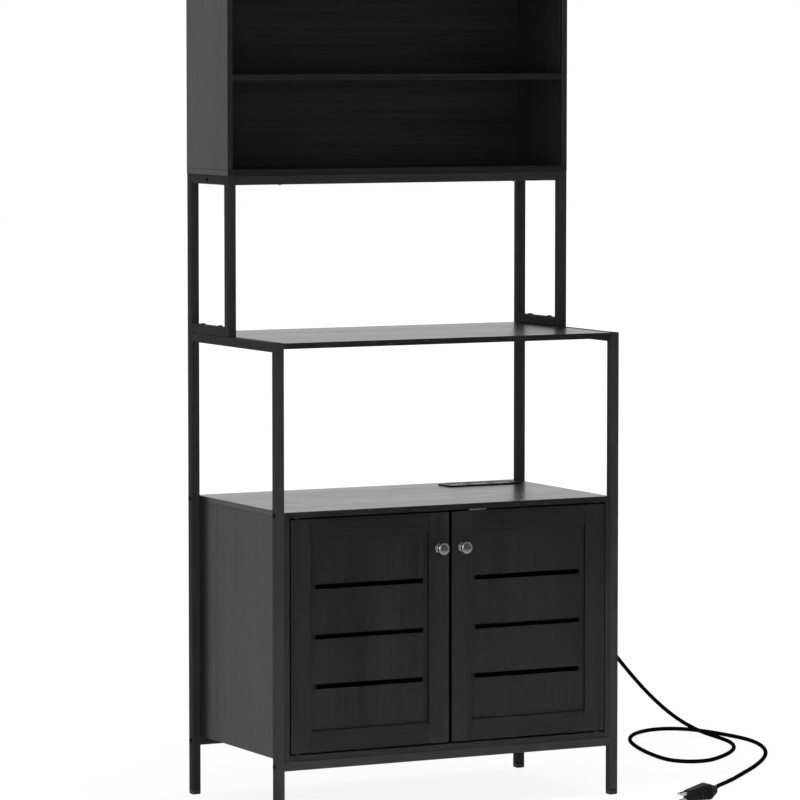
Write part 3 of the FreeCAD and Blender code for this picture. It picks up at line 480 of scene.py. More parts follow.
class Finishes:
    """The finishes of this cabinet."""

    TUBE = PowderCoat("tube_powder_coat", (0.0270, 0.0270, 0.0276), 0.56, shine=0.03)
    BOLT = PowderCoat("bolt_black_oxide", (0.0025, 0.0025, 0.0027), 0.42, shine=0.03, peel=0.00003)
    CAP = Moulded("cap_plastic", (0.024, 0.024, 0.025), 0.5, shine=0.2)
    # Dark ring at each foot's seam: painted shade for the seam's shadow line.
    SEAM_SHADE = Moulded("seam_painted_shade", (0.0035, 0.0035, 0.0036), 0.6, shine=0.1)
    HOUSING = Moulded("housing_plastic", (0.010, 0.010, 0.011), 0.42)
    BEZEL = Moulded("bezel_plastic", (0.0035, 0.0035, 0.0038), 0.4, shine=0.05, grit=900.0, relief=0.00003)
    SOCKET = Moulded("socket_plastic", (0.008, 0.008, 0.009), 0.36)
    JACKET = Moulded("cord_jacket", (0.0045, 0.0045, 0.0047), 0.5, shine=0.0, grit=700.0, relief=0.00003)
    PLUG = Moulded("plug_rubber", (0.0060, 0.0060, 0.0062), 0.46, shine=0.06, grit=1200.0, relief=0.00003)
    NYLON = Moulded("bush_nylon", (0.012, 0.012, 0.012), 0.4)
    KNOB = TurnedMetal("knob_black_nickel", (0.40, 0.40, 0.41), 0.2, 1.0)
    ZINC = PlatedSteel("zinc_plate", (0.60, 0.61, 0.62), 0.32, 1.0)
    POLE = PlatedSteel("pole_pale_zinc", (0.82, 0.82, 0.81), 0.5)
    # A darkened copy of the zinc: painted shade on the left door's catch poles and strike.
    ZINC_PAINTED_SHADE = PlatedSteel("zinc_plate_painted_shade", (0.030, 0.030, 0.032), 0.42, 1.0)
    STEEL = PlatedSteel("plain_steel", (0.42, 0.42, 0.43), 0.4, 1.0)
    BLADE = PlatedSteel("blade_nickel", (0.78, 0.76, 0.70), 0.22, 1.0)
    BRASS = PlatedSteel("contact_brass", (0.72, 0.52, 0.24), 0.3, 1.0)
    WORKTOP = WoodGrain("worktop_grain_across", (0.0150, 0.0147, 0.0145), 0.24, shine=0.32,
                        grain=Grain.ACROSS)
    BOARD_ACROSS = WoodGrain("board_grain_across", (0.0142, 0.0139, 0.0137), 0.24, shine=0.22,
                             grain=Grain.ACROSS)
    BOARD_UPRIGHT = WoodGrain("board_grain_upright", (0.0178, 0.0175, 0.0173), 0.27, shine=0.21)
    # The doors' edge faces are darkened to a fifth of the colour: painted shade in their slots, grooves and
    # gaps.
    DOOR_ACROSS_EDGE_SHADE = WoodGrain("door_grain_across_edge_shade", (0.0118, 0.0116, 0.0114), 0.26, shine=0.2,
                            grain=Grain.ACROSS, edge_painted_shade=0.2)
    DOOR_UPRIGHT_EDGE_SHADE = WoodGrain("door_grain_upright_edge_shade", (0.0150, 0.0147, 0.0145), 0.27, shine=0.17, edge_painted_shade=0.2)
    BACK_ACROSS = WoodGrain("back_grain_across", (0.0188, 0.0185, 0.0183), 0.36, shine=0.2,
                            grain=Grain.ACROSS)


class Stock:
    """A mesh in the making, with the shapes that several pieces share."""

    def __init__(self) -> None:
        """Start an empty mesh."""
        self.mesh = bmesh.new()

    def loft(self, rings: Sequence[Sequence[Vector]], ends: tuple[bool, bool] = (True, True)) -> None:
        """Skin a row of closed rings that have as many points each.

        Args:
            rings: the rings' points.
            ends: whether the first and the last ring are filled.
        """
        rows = [[self.mesh.verts.new(point) for point in ring] for ring in rings]
        count = len(rows[0])
        for below, above in zip(rows, rows[1:]):
            for i in range(count):
                j = (i + 1) % count
                self.mesh.faces.new((below[i], below[j], above[j], above[i]))
        for row, wanted in ((rows[0][::-1], ends[0]), (rows[-1], ends[1])):
            if wanted:
                self.mesh.faces.new(row)

    @staticmethod
    def ring(radius: float, level: float, place: Matrix, segments: int = ROUND,
             outline: Outline | None = None) -> list[Vector]:
        """Points round the third axis.

        Args:
            radius: their distance from it.
            level: their height.
            place: where the ring goes.
            segments: how many points.
            outline: radius factor for each angle, for a ring that isn't round.

        Returns:
            The points.
        """
        points = []
        for i in range(segments):
            angle = 2 * math.pi * i / segments
            reach = radius * (outline(angle) if outline else 1.0)
            points.append(place @ Vector((reach * math.cos(angle), reach * math.sin(angle), level)))
        return points

    def lathe(self, profile: Profile, place: Matrix, segments: int = ROUND,
              ends: tuple[bool, bool] = (True, True)) -> None:
        """Turn a profile about the third axis.

        Args:
            profile: radius and height of each ring, in metres.
            place: where the turned shape goes.
            segments: points on a ring.
            ends: whether the first and the last ring are filled.
        """
        self.loft([self.ring(radius, level, place, segments) for radius, level in profile], ends)

    def block(self, low: Sequence[float], high: Sequence[float], ease: float,
              place: Matrix | None = None) -> None:
        """A block with rounded edges.

        Args:
            low: lowest corner.
            high: highest corner.
            ease: radius of the edges.
            place: where the block goes, if not as it is.
        """
        part = bmesh.new()
        bmesh.ops.create_cube(part, size=1)
        spans = [top - bottom for bottom, top in zip(low, high)]
        shape = Matrix.Translation((Vector(low) + Vector(high)) / 2) @ Matrix.Diagonal((*spans, 1))
        bmesh.ops.transform(part, matrix=shape, verts=part.verts)
        bmesh.ops.bevel(part, geom=list(part.edges), offset=ease, segments=2, profile=0.5, affect="EDGES")
        if place is not None:
            bmesh.ops.transform(part, matrix=place, verts=part.verts)
        data = bpy.data.meshes.new("part")
        part.to_mesh(data)
        part.free()
        self.mesh.from_mesh(data)
        bpy.data.meshes.remove(data)

    def piece(self, name: str, finish: Finish, body: str, slot: str, place: Matrix | None = None,
              replaces: Iterable[str] = (), angle: float = 35.0) -> bpy.types.Object:
        """Turn the mesh into a piece that rides on a body.

        Args:
            name: the piece's name.
            finish: its finish.
            body: the body that it rides on.
            slot: the record's material slot; not used.
            place: the piece's own frame, if not the whole object's.
            replaces: nodes that the piece stands for.
            angle: edges sharper than this stay sharp, in degrees.

        Returns:
            The piece.
        """
        bmesh.ops.recalc_face_normals(self.mesh, faces=self.mesh.faces)
        data = bpy.data.meshes.new(name)
        if place is not None:
            bmesh.ops.transform(self.mesh, matrix=place.inverted(), verts=self.mesh.verts)
        self.mesh.to_mesh(data)
        self.mesh.free()
        for face in data.polygons:
            face.use_smooth = True
        data.set_sharp_from_angle(angle=math.radians(angle))
        made = bpy.data.objects.new(name, data)
        bpy.context.scene.collection.objects.link(made)
        if place is not None:
            made.matrix_world = place
        return settle_piece(made, finish, body, replaces)


def settle_piece(made: bpy.types.Object, finish: Finish, body: str,
                 replaces: Iterable[str] = ()) -> bpy.types.Object:
    """Dress a new piece and let it ride.

    Args:
        made: the piece.
        finish: its finish.
        body: the body that it rides on.
        replaces: nodes that it stands for.

    Returns:
        The piece.
    """
    made.data.materials.append(finish.material())
    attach(made, body)
    nodes = list(replaces)
    if nodes:
        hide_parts(*nodes)
    LOG.info("%s: %s on %s", made.name, finish.name, body)
    return made


def dress(finish: Finish, *nodes: str) -> None:
    """Give nodes of the model a finish.

    Args:
        finish: the finish.
        nodes: the nodes' names.
    """
    for name in nodes:
        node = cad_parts[name]
        if not node.material_slots:
            node.data.materials.append(None)
        for slot in node.material_slots:
            slot.material = finish.material()
        LOG.info("%s: %s", name, finish.name)


def aimed(spot: Sequence[float], way: Sequence[float]) -> Matrix:
    """A frame at a spot whose third axis points a given way."""
    return Matrix.Translation(Vector(spot)) @ Vector(way).to_track_quat("Z", "Y").to_matrix().to_4x4()


def metres(profile: Iterable[Span]) -> list[Span]:
    """A profile given in millimetres, brought to metres."""
    return [(radius * MM, level * MM) for radius, level in profile]


def hexagon(angle: float) -> float:
    """Reach of a hexagon with flats at distance 1."""
    turn = (angle + math.pi / 6) % (math.pi / 3) - math.pi / 6
    return 1 / math.cos(turn)


def cross(angle: float, half_arm: float = 0.3) -> float:
    """Reach of a cross whose arms end at distance 1.

    Args:
        angle: direction from the middle.
        half_arm: half of an arm's width.

    Returns:
        The distance to the outline.
    """
    turn = angle % (math.pi / 2)
    turn = min(turn, math.pi / 2 - turn)
    return 1 / math.cos(turn) if math.tan(turn) < half_arm else half_arm / math.sin(turn)


def rounded(half_width: float, half_height: float, corner: float, steps: int = 6) -> list[Span]:
    """Points round a rectangle with round corners.

    Args:
        half_width: half of its width.
        half_height: half of its height.
        corner: radius of its corners.
        steps: facets of a corner.

    Returns:
        The points, counter-clockwise.
    """
    points = []
    for turn, (u, v) in enumerate(((1, 1), (-1, 1), (-1, -1), (1, -1))):
        for i in range(steps + 1):
            angle = math.pi / 2 * (turn + i / steps)
            points.append((u * (half_width - corner) + corner * math.cos(angle),
                           v * (half_height - corner) + corner * math.sin(angle)))
    return points


@dataclass(frozen=True)
class Layout:
    """Faces and levels that the sub-assemblies share, in metres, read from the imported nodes."""

    half: float
    front: float
    rear: float
    tube: float
    work_top: float
    work_under: float
    shelf_top: float
    hutch_front: float
    hutch_rail_under: float

    @classmethod
    def read(cls) -> "Layout":
        """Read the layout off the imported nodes.

        Returns:
            The layout.
        """
        leg_low, leg_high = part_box("leg_front_left")
        work_low, work_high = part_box("worktop")
        rail_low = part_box("hutch_cross_rail_front")[0]
        return cls(half=-leg_low.x, front=leg_low.y, rear=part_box("leg_rear_left")[1].y,
                   tube=leg_high.x - leg_low.x, work_top=work_high.z, work_under=work_low.z,
                   shelf_top=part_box("mid_shelf")[1].z, hutch_front=rail_low.y, hutch_rail_under=rail_low.z)

    @property
    def post_axis(self) -> float:
        """Distance of the posts' axes from the middle."""
        return self.half - self.tube / 2

    @property
    def leg_rows(self) -> Span:
        """Places of the legs' axes from front to rear."""
        return self.front + self.tube / 2, self.rear - self.tube / 2

    @property
    def hutch_rows(self) -> Span:
        """Places of the hutch posts' axes from front to rear."""
        return self.hutch_front + self.tube / 2, self.rear - self.tube / 2


@dataclass(frozen=True)
class Lamp:
    """A soft box: its place, the point that it faces, its size, its power and how widely it fans out."""

    name: str
    spot: Spot
    aim: Spot
    size: Span
    power: float
    fan: float = 180.0
    mirrored: bool = False

    def build(self) -> None:
        """Hang the lamp, which shiny surfaces show only where it is mirrored."""
        data = bpy.data.lights.new(self.name, "AREA")
        data.shape = "RECTANGLE"
        data.size, data.size_y = self.size
        data.energy = self.power
        data.spread = math.radians(self.fan)
        made = bpy.data.objects.new(self.name, data)
        made.location = self.spot
        made.rotation_euler = (Vector(self.aim) - Vector(self.spot)).to_track_quat("-Z", "Y").to_euler()
        made.visible_glossy = self.mirrored
        bpy.context.scene.collection.objects.link(made)
        LOG.info("%s lamp: %g W", self.name, self.power)


@dataclass(frozen=True)
class Studio:
    """Floor, soft light, white backdrop and the camera of the photograph."""

    spot: Spot = (-4.45345, -8.56518, 1.58292)
    yaw: float = 27.3938
    pitch: float = 4.4227
    lens: float = 207.735
    sensor: float = 36.0
    clip_end: float = 100.0
    sky: float = 0.42
    front_glow: float = 0.12
    front_fade: Span = (-0.75, 0.35)
    left_wall: Span = (-0.45, -0.75)
    floor_half: float = 30.0
    floor_drop: float = 0.4 * MM
    floor_lit: float = 0.86
    floor_faint: float = 0.19
    floor_glow: Span = (0.88, 1.0)
    glow_distances: Span = (2.0, 7.0)
    sheen_rows: Span = (-2.2, 0.4)
    lamps: tuple[Lamp, ...] = (
        Lamp("key", (-2.2, -5.0, 0.7), (0, 0, 0.7), (2.4, 1.6), 58),
        Lamp("side", (-4.5, -2.2, 1.7), (0, 0, 0.8), (2.4, 3.3), 42, mirrored=True),
        Lamp("fill", (4.6, -3.0, 1.9), (0, 0, 0.5), (3.6, 3.2), 14),
        Lamp("pool", (-0.1, -0.75, 3.0), (-0.1, -0.75, 0), (2.2, 1.0), 15, fan=8.0),
        Lamp("top", (0, 0.2, 4.8), (0, 0, 0), (3.0, 3.0), 60))

    def camera(self) -> None:
        """Set the camera up."""
        data = bpy.data.cameras.new("camera")
        data.lens = self.lens
        data.sensor_width = self.sensor
        data.clip_end = self.clip_end
        made = bpy.data.objects.new("camera", data)
        made.location = self.spot
        made.rotation_euler = (math.radians(90 - self.pitch), 0, -math.radians(self.yaw))
        bpy.context.scene.collection.objects.link(made)
        bpy.context.scene.camera = made

    def backdrop(self) -> None:
        """A white world behind the object that, in reflections, dims to the front but not at the left."""
        world = bpy.data.worlds.new("studio")
        bpy.context.scene.world = world
        world.use_nodes = True
        wiring = Wiring(world.node_tree)
        light = wiring.tree.nodes["Background"]
        light.inputs["Color"].default_value = WHITE
        light.inputs["Strength"].default_value = self.sky
        fade = wiring.spread(wiring.axis("Generated", "Y"), *self.front_fade, self.front_glow,
                             interpolation_type="SMOOTHSTEP")
        wall = wiring.spread(wiring.axis("Generated", "X"), *self.left_wall)
        glow = wiring.maths("MAXIMUM", fade, wall)
        level = wiring.maths("MAXIMUM", glow, wiring.rays(CAMERA_RAY))
        white = wiring.node("ShaderNodeBackground", {"Color": WHITE, "Strength": level})
        shader = wiring.mixed(wiring.rays(*SEEN_RAYS), light.outputs[0], white.outputs[0])
        wiring.show(shader, "World Output")

    def floor(self) -> None:
        """A pale floor that reads white and still takes a soft shadow."""
        half = self.floor_half
        data = bpy.data.meshes.new("floor")
        data.from_pydata([(-half, -half, 0), (half, -half, 0), (half, half, 0), (-half, half, 0)],
                         [], [(0, 1, 2, 3)])
        made = bpy.data.objects.new("floor", data)
        made.location.z = -self.floor_drop
        bpy.context.scene.collection.objects.link(made)
        recipe = Recipe("floor_white")
        lit, faint = (recipe.node("ShaderNodeBsdfDiffuse", {"Color": (grey, grey, grey, 1)}).outputs[0]
                      for grey in (self.floor_lit, self.floor_faint))
        distance = recipe.node("ShaderNodeVectorMath", {0: recipe.places()}, operation="LENGTH")
        plain = recipe.spread(distance.outputs["Value"], *self.glow_distances, *self.floor_glow)
        row = recipe.axis("Object", "Y")
        mirrored = recipe.spread(row, *self.sheen_rows, self.front_glow, self.floor_lit)
        glow, sheen = (recipe.node("ShaderNodeEmission", {"Color": WHITE, "Strength": level}).outputs[0]
                       for level in (plain, mirrored))
        shown = recipe.node("ShaderNodeAddShader", {0: faint, 1: glow}).outputs[0]
        looked = recipe.mixed(recipe.rays(CAMERA_RAY), sheen, shown)
        recipe.show(recipe.mixed(recipe.rays(*SEEN_RAYS), lit, looked), "Material Output")
        data.materials.append(recipe.material)

    def build(self) -> None:
        """Build the studio."""
        bpy.context.scene.view_settings.view_transform = "Standard"
        self.camera()
        self.backdrop()
        self.floor()
        for lamp in self.lamps:
            lamp.build()


@dataclass(frozen=True)
class Fastener:
    """A domed head with a recess, on a plain shank.

    The dome and the recess's floor are shares of the head's radius or the recess's, and of its height. The
    point gives the share of the shank at its tip and the length over which it narrows.
    """

    head: float
    height: float
    shank: float
    length: float
    drive: Drive
    recess: float
    dome: Profile = ((0.97, 0), (1, 0.08), (1, 0.32), (0.95, 0.58), (0.84, 0.8), (0.68, 0.95), (0.56, 1))
    recess_floor: Span = (0.92, 0.35)
    point: Span = (0.7, 0.8 * MM)
    shank_segments: int = 24

    def add_to(self, stock: Stock, place: Matrix) -> None:
        """Add the fastener to a mesh, its head's underside at the place and its head along the third axis.

        Args:
            stock: the mesh in the making.
            place: where it goes.
        """
        dome = [(self.head / 2 * share, self.height * level) for share, level in self.dome]
        stock.lathe(dome, place, ends=(False, False))
        shape = hexagon if self.drive is Drive.HEX else cross
        narrower, lower = self.recess_floor
        stock.loft([stock.ring(*dome[-1], place),
                    stock.ring(self.recess, self.height, place, outline=shape),
                    stock.ring(self.recess * narrower, self.height * lower, place, outline=shape)],
                   (False, True))
        shank = self.shank / 2
        tip, taper = self.point
        stock.lathe([(shank * tip, -self.length), (shank, -self.length + taper), (shank, 0)], place,
                    self.shank_segments, (True, False))
        stock.lathe([(shank, 0), dome[0]], place, ends=(False, False))

    def fit(self, name: str, places: Iterable[Matrix], finish: Finish, slot: str, body: str = "frame",
            replaces: Iterable[str] = ()) -> None:
        """Fit several such fasteners, as one piece.

        Args:
            name: the piece's name.
            places: where the fasteners go.
            finish: their finish.
            slot: the record's material slot.
            body: the body that they ride on.
            replaces: nodes that the piece stands for.
        """
        stock = Stock()
        for place in places:
            self.add_to(stock, place)
        stock.piece(name, finish, body, slot, replaces=replaces)


@dataclass(frozen=True)
class TubeFrame:
    """The welded and bolted square-tube frame: coats, bolts, screws, a painted-shade ring at each foot's
    seam and weld beads.
    """

    layout: Layout
    bolt: Fastener = Fastener(11 * MM, 2.6 * MM, 6 * MM, 37 * MM, Drive.HEX, 1.9 * MM)
    hutch_bolt: Fastener = Fastener(11 * MM, 2.6 * MM, 6 * MM, 27 * MM, Drive.HEX, 1.9 * MM)
    side_bolt: Fastener = Fastener(9 * MM, 2.0 * MM, 5 * MM, 1.0 * MM, Drive.HEX, 1.5 * MM)
    screw: Fastener = Fastener(8 * MM, 1.8 * MM, 4 * MM, 28 * MM, Drive.CROSS, 2.1 * MM)
    tab_screw: Fastener = Fastener(7.5 * MM, 1.6 * MM, 4 * MM, 1.2 * MM, Drive.CROSS, 2.0 * MM)
    bolt_pitch: float = 84 * MM
    screw_inset: float = 104 * MM
    tab_end_inset: float = 13 * MM
    tab_side_inset: float = 15 * MM
    tube_corner: float = 2 * MM
    # The dark ring at each foot's seam, painted shade: half its height, how far it stands out and how far it
    # reaches in.
    seam_shade_half: float = 0.7 * MM
    seam_shade_proud: float = 0.12 * MM
    seam_shade_depth: float = 1.0 * MM
    bead: float = 2.4 * MM
    bead_inset: float = 2.2 * MM
    bead_root: float = 0.3 * MM
    bead_tip: float = 0.45
    bead_taper: float = 6.0
    bead_hollow: float = 1.5
    ripples: int = 9
    ripple: float = 0.16
    bead_steps: int = 40
    fillet_steps: int = 5

    def coat(self) -> None:
        """Powder coat on all tubes and tabs, and the caps' plastic."""
        dress(Finishes.TUBE, "leg_front_left", "leg_front_right", "leg_rear_left", "leg_rear_right",
              "bottom_rail_front", "bottom_rail_rear", "mid_posts_left", "mid_posts_right", "mid_rail_left",
              "mid_rail_right", "hutch_posts_left", "hutch_posts_right", "hutch_rails_left",
              "hutch_rails_right", "hutch_cross_rail_front", "hutch_cross_rail_rear", "shelf_tabs")
        dress(Finishes.CAP, "foot_caps")
        dress(Finishes.STEEL, "post_spigots", "rail_end_plugs")

    def bolts(self) -> None:
        """Bolts through the legs, in the lower hutch rails and in the sides of the rails under the box."""
        lay = self.layout
        rail_low, rail_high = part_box("bottom_rail_front")
        levels = ((rail_low.z + rail_high.z) / 2, (lay.work_under + lay.work_top) / 2)
        middle = (lay.hutch_front + lay.rear) / 2
        rows = (middle - self.bolt_pitch / 2, middle + self.bolt_pitch / 2)
        side_level = lay.hutch_rail_under + lay.tube / 2
        legs, hutch, sides = [], [], []
        for side in Side:
            out = (side.value, 0, 0)
            face = side.value * lay.half
            legs += [aimed((face, y, z), out) for y in lay.leg_rows for z in levels]
            axis = side.value * lay.post_axis
            hutch += [aimed((axis, y, lay.shelf_top + lay.tube), (0, 0, 1)) for y in rows]
            sides.append(aimed((face, middle, side_level), out))
        self.bolt.fit("frame_bolt_set", legs, Finishes.BOLT, "bolt_black", replaces=["frame_bolts"])
        self.hutch_bolt.fit("hutch_bolt_set", hutch, Finishes.BOLT, "bolt_black", replaces=["hutch_bolts"])
        self.side_bolt.fit("side_rail_bolts", sides, Finishes.BOLT, "bolt_black")

    def screws(self) -> None:
        """Screws up through the cross rails, and under the shelf tabs."""
        lay = self.layout
        down = (0, 0, -1)
        across = lay.half - lay.tube - self.screw_inset
        rails = [aimed((side.value * across, y, lay.hutch_rail_under), down)
                 for y in lay.hutch_rows for side in Side]
        self.screw.fit("hutch_screw_set", rails, Finishes.ZINC, "zinc_steel", replaces=["hutch_screws"])
        low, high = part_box("shelf_tabs")
        rows = (low.y + self.tab_end_inset, high.y - self.tab_end_inset)
        tabs = [aimed((side.value * (high.x - self.tab_side_inset), y, low.z), down)
                for side in Side for y in rows]
        self.tab_screw.fit("tab_screw_set", tabs, Finishes.ZINC, "zinc_steel")

    def seam_shade_rings(self) -> None:
        """A thin dark ring at the seam between each leg and its foot cap: painted shade for the seam's
        shadow line.
        """
        lay = self.layout
        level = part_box("leg_front_left")[0].z
        thick, proud, deep = self.seam_shade_half, self.seam_shade_proud, -self.seam_shade_depth
        section = ((proud, -thick), (proud, thick), (deep, thick), (deep, -thick), (proud, -thick))
        stock = Stock()
        for side in Side:
            for y in lay.leg_rows:
                rings = []
                for reach, rise in section:
                    half = lay.tube / 2 + reach
                    rings.append([Vector((side.value * lay.post_axis + u, y + v, level + rise))
                                  for u, v in rounded(half, half, self.tube_corner + reach)])
                stock.loft(rings, (False, False))
        stock.piece("foot_seam_shade_rings", Finishes.SEAM_SHADE, "frame", "moulded_black")

    def welds(self) -> None:
        """Painted fillet beads in the inside corners of the welded side frames."""
        lay = self.layout
        rails = ((lay.front, lay.shelf_top - lay.tube, -1), (lay.hutch_front, lay.shelf_top + lay.tube, 1),
                 (lay.hutch_front, lay.hutch_rail_under, -1))
        stock = Stock()
        for side in Side:
            for front, level, up in rails:
                for y, out in ((front + lay.tube, 1), (lay.rear - lay.tube, -1)):
                    stock.loft(self.bead_rings(side.value * lay.post_axis, y, level, out, up))
        stock.piece("weld_beads", Finishes.TUBE, "frame", "frame_paint", angle=80)

    def bead_rings(self, middle: float, y: float, z: float, out: int, up: int) -> list[list[Vector]]:
        """Rings of one bead across a tube, with the ripples of its puddles.

        Args:
            middle: the tube's middle across.
            y: the corner's place from front to rear.
            z: the corner's height.
            out: way along Y that the bead bulges.
            up: way along Z that the bead bulges.

        Returns:
            The rings.
        """
        reach = self.layout.tube / 2 - self.bead_inset
        rings = []
        for i in range(self.bead_steps + 1):
            share = i / self.bead_steps
            wave = 1 + self.ripple * abs(math.sin(share * math.pi * self.ripples)) - self.ripple / 2
            size = self.bead * wave * min(1.0, self.bead_tip + self.bead_taper * min(share, 1 - share))
            x = middle - reach + 2 * reach * share
            ring = [Vector((x, y - out * self.bead_root, z - up * self.bead_root))]
            for step in range(self.fillet_steps + 1):
                angle = step / self.fillet_steps * math.pi / 2
                ahead = out * size * math.cos(angle) ** self.bead_hollow
                above = up * size * math.sin(angle) ** self.bead_hollow
                ring.append(Vector((x, y + ahead, z + above)))
            rings.append(ring)
        return rings

    def build(self) -> None:
        """Build the frame's details and dress its tubes."""
        self.coat()
        self.bolts()
        self.screws()
        self.seam_shade_rings()
        self.welds()


@dataclass(frozen=True)
class Boards:
    """Worktop, shelves, cabinet and hutch boards, with brackets, back pins, catch poles and cable grommet.

    The pins' dome is in shares of their radius and rise. The grommet's rim is in millimetres beyond its hole
    and over the panel.
    """

    pin_head: float = 4.6 * MM
    pin_rise: float = 0.7 * MM
    pin_root: float = 0.2 * MM
    pin_pitch: float = 128 * MM
    pin_margin: float = 6 * MM
    pin_dome: Profile = ((1, 0.35), (0.86, 0.7), (0.55, 0.93), (0.2, 1))
    pin_segments: int = 16
    grommet_hole: float = 12.4 * MM
    grommet_wall: float = 1.3 * MM
    grommet_inside: float = 1.2 * MM
    grommet_rim: Profile = ((6, 0), (6.3, 0.6), (5.6, 1.4), (1.2, 2.0), (0.3, 1.6), (0, 0.8))
    catch_offset: float = 72 * MM
    pole_span: float = 38 * MM
    pole_break: Span = (30 * MM, 33 * MM)
    pole_ease: float = 0.25 * MM
    bracket_sheet: float = 1.5 * MM
    bracket_end_inset: float = 7 * MM
    bracket_level: float = 9 * MM
    bracket_side_inset: float = 16 * MM
    bracket_screw: Fastener = Fastener(6.5 * MM, 1.5 * MM, 3.5 * MM, 1.0 * MM, Drive.CROSS, 1.7 * MM)

    def coat(self) -> None:
        """Wood grain along each board, and the metal and plastic of its fittings."""
        dress(Finishes.WORKTOP, "worktop")
        dress(Finishes.BOARD_ACROSS, "mid_shelf", "cabinet_bottom", "inner_shelf", "hutch_bottom",
              "hutch_shelf", "hutch_top")
        dress(Finishes.BOARD_UPRIGHT, "cabinet_side_left", "cabinet_side_right", "hutch_side_left",
              "hutch_side_right")
        dress(Finishes.BACK_ACROSS, "cabinet_back", "hutch_back")
        dress(Finishes.ZINC, "top_brackets", "inner_shelf_pins")
        dress(Finishes.HOUSING, "magnetic_catches")
        dress(Finishes.NYLON, "pivot_bushes")

    def rows(self, start: float, end: float) -> list[float]:
        """Even places from one end to the other, about a pin pitch apart."""
        count = max(1, round((end - start) / self.pin_pitch))
        return [start + (end - start) * i / count for i in range(count + 1)]

    def back_pins(self, node: str, shares: Sequence[float]) -> None:
        """Pin heads along the edges of a back panel and along the boards between them.

        Args:
            node: the panel.
            shares: where the level rows lie, from 0 for the lowest to 1 for the highest.
        """
        low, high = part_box(node)
        left, right = low.x + self.pin_margin, high.x - self.pin_margin
        bottom, top = low.z + self.pin_margin, high.z - self.pin_margin
        spots = [(x, bottom + (top - bottom) * share) for share in shares for x in self.rows(left, right)]
        spots += [(x, z) for x in (left, right) for z in self.rows(bottom, top)[1:-1]]
        radius = self.pin_head / 2
        profile = [(radius, -self.pin_root)]
        profile += [(radius * share, self.pin_rise * rise) for share, rise in self.pin_dome]
        stock = Stock()
        for x, z in sorted(spots):
            stock.lathe(profile, aimed((x, high.y, z), (0, 1, 0)), self.pin_segments)
        stock.piece(f"{node}_pins", Finishes.ZINC, "frame", "zinc_steel")

    def grommet(self) -> None:
        """A moulded ring round the cable hole."""
        gland_low, gland_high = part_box("cord_gland")
        back_low, back_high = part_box("cabinet_back")
        spot = ((gland_low.x + gland_high.x) / 2, back_high.y, (gland_low.z + gland_high.z) / 2)
        hole = self.grommet_hole
        wall = hole + self.grommet_wall
        inside = back_low.y - back_high.y - self.grommet_inside
        rim = [(hole + reach, rise) for reach, rise in metres(self.grommet_rim)]
        stock = Stock()
        stock.lathe([(hole, inside), (wall, inside), (wall, 0), *rim, (hole, inside)],
                    aimed(spot, (0, 1, 0)), ends=(False, False))
        stock.piece("cable_grommet", Finishes.CAP, "frame", "moulded_black")

    def poles(self) -> None:
        """The catches' steel poles, a long and a short one each: pale on the right, a darkened copy as
        painted shade on the left.
        """
        low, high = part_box("catch_poles")
        stock = Stock()
        for side in Side:
            start = side.value * self.catch_offset - self.pole_span / 2
            for left, right in ((0.0, self.pole_break[0]), (self.pole_break[1], self.pole_span)):
                stock.block((start + left, low.y, low.z), (start + right, high.y, high.z), self.pole_ease)
        made = stock.piece("catch_pole_set", Finishes.POLE, "frame", "zinc_steel", replaces=["catch_poles"])
        # The left poles take the darkened zinc copy: painted shade.
        made.data.materials.append(Finishes.ZINC_PAINTED_SHADE.material())
        for face in made.data.polygons:
            face.material_index = 1 if face.center.x < 0 else 0

    def bracket_screws(self) -> None:
        """Two screws in each corner bracket, into the side and into the top."""
        low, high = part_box("top_brackets")
        upright = (high.x - self.bracket_sheet, low.z + self.bracket_level)
        level = (high.x - self.bracket_side_inset, high.z - self.bracket_sheet)
        places = []
        for side in Side:
            for y in (low.y + self.bracket_end_inset, high.y - self.bracket_end_inset):
                places.append(aimed((side.value * upright[0], y, upright[1]), (-side.value, 0, 0)))
                places.append(aimed((side.value * level[0], y, level[1]), (0, 0, -1)))
        self.bracket_screw.fit("bracket_screw_set", places, Finishes.ZINC, "zinc_steel")

    def build(self) -> None:
        """Dress the boards and add their fittings."""
        self.coat()
        self.back_pins("hutch_back", (0, 0.5, 1))
        self.back_pins("cabinet_back", (0, 1))
        self.grommet()
        self.poles()
        self.bracket_screws()


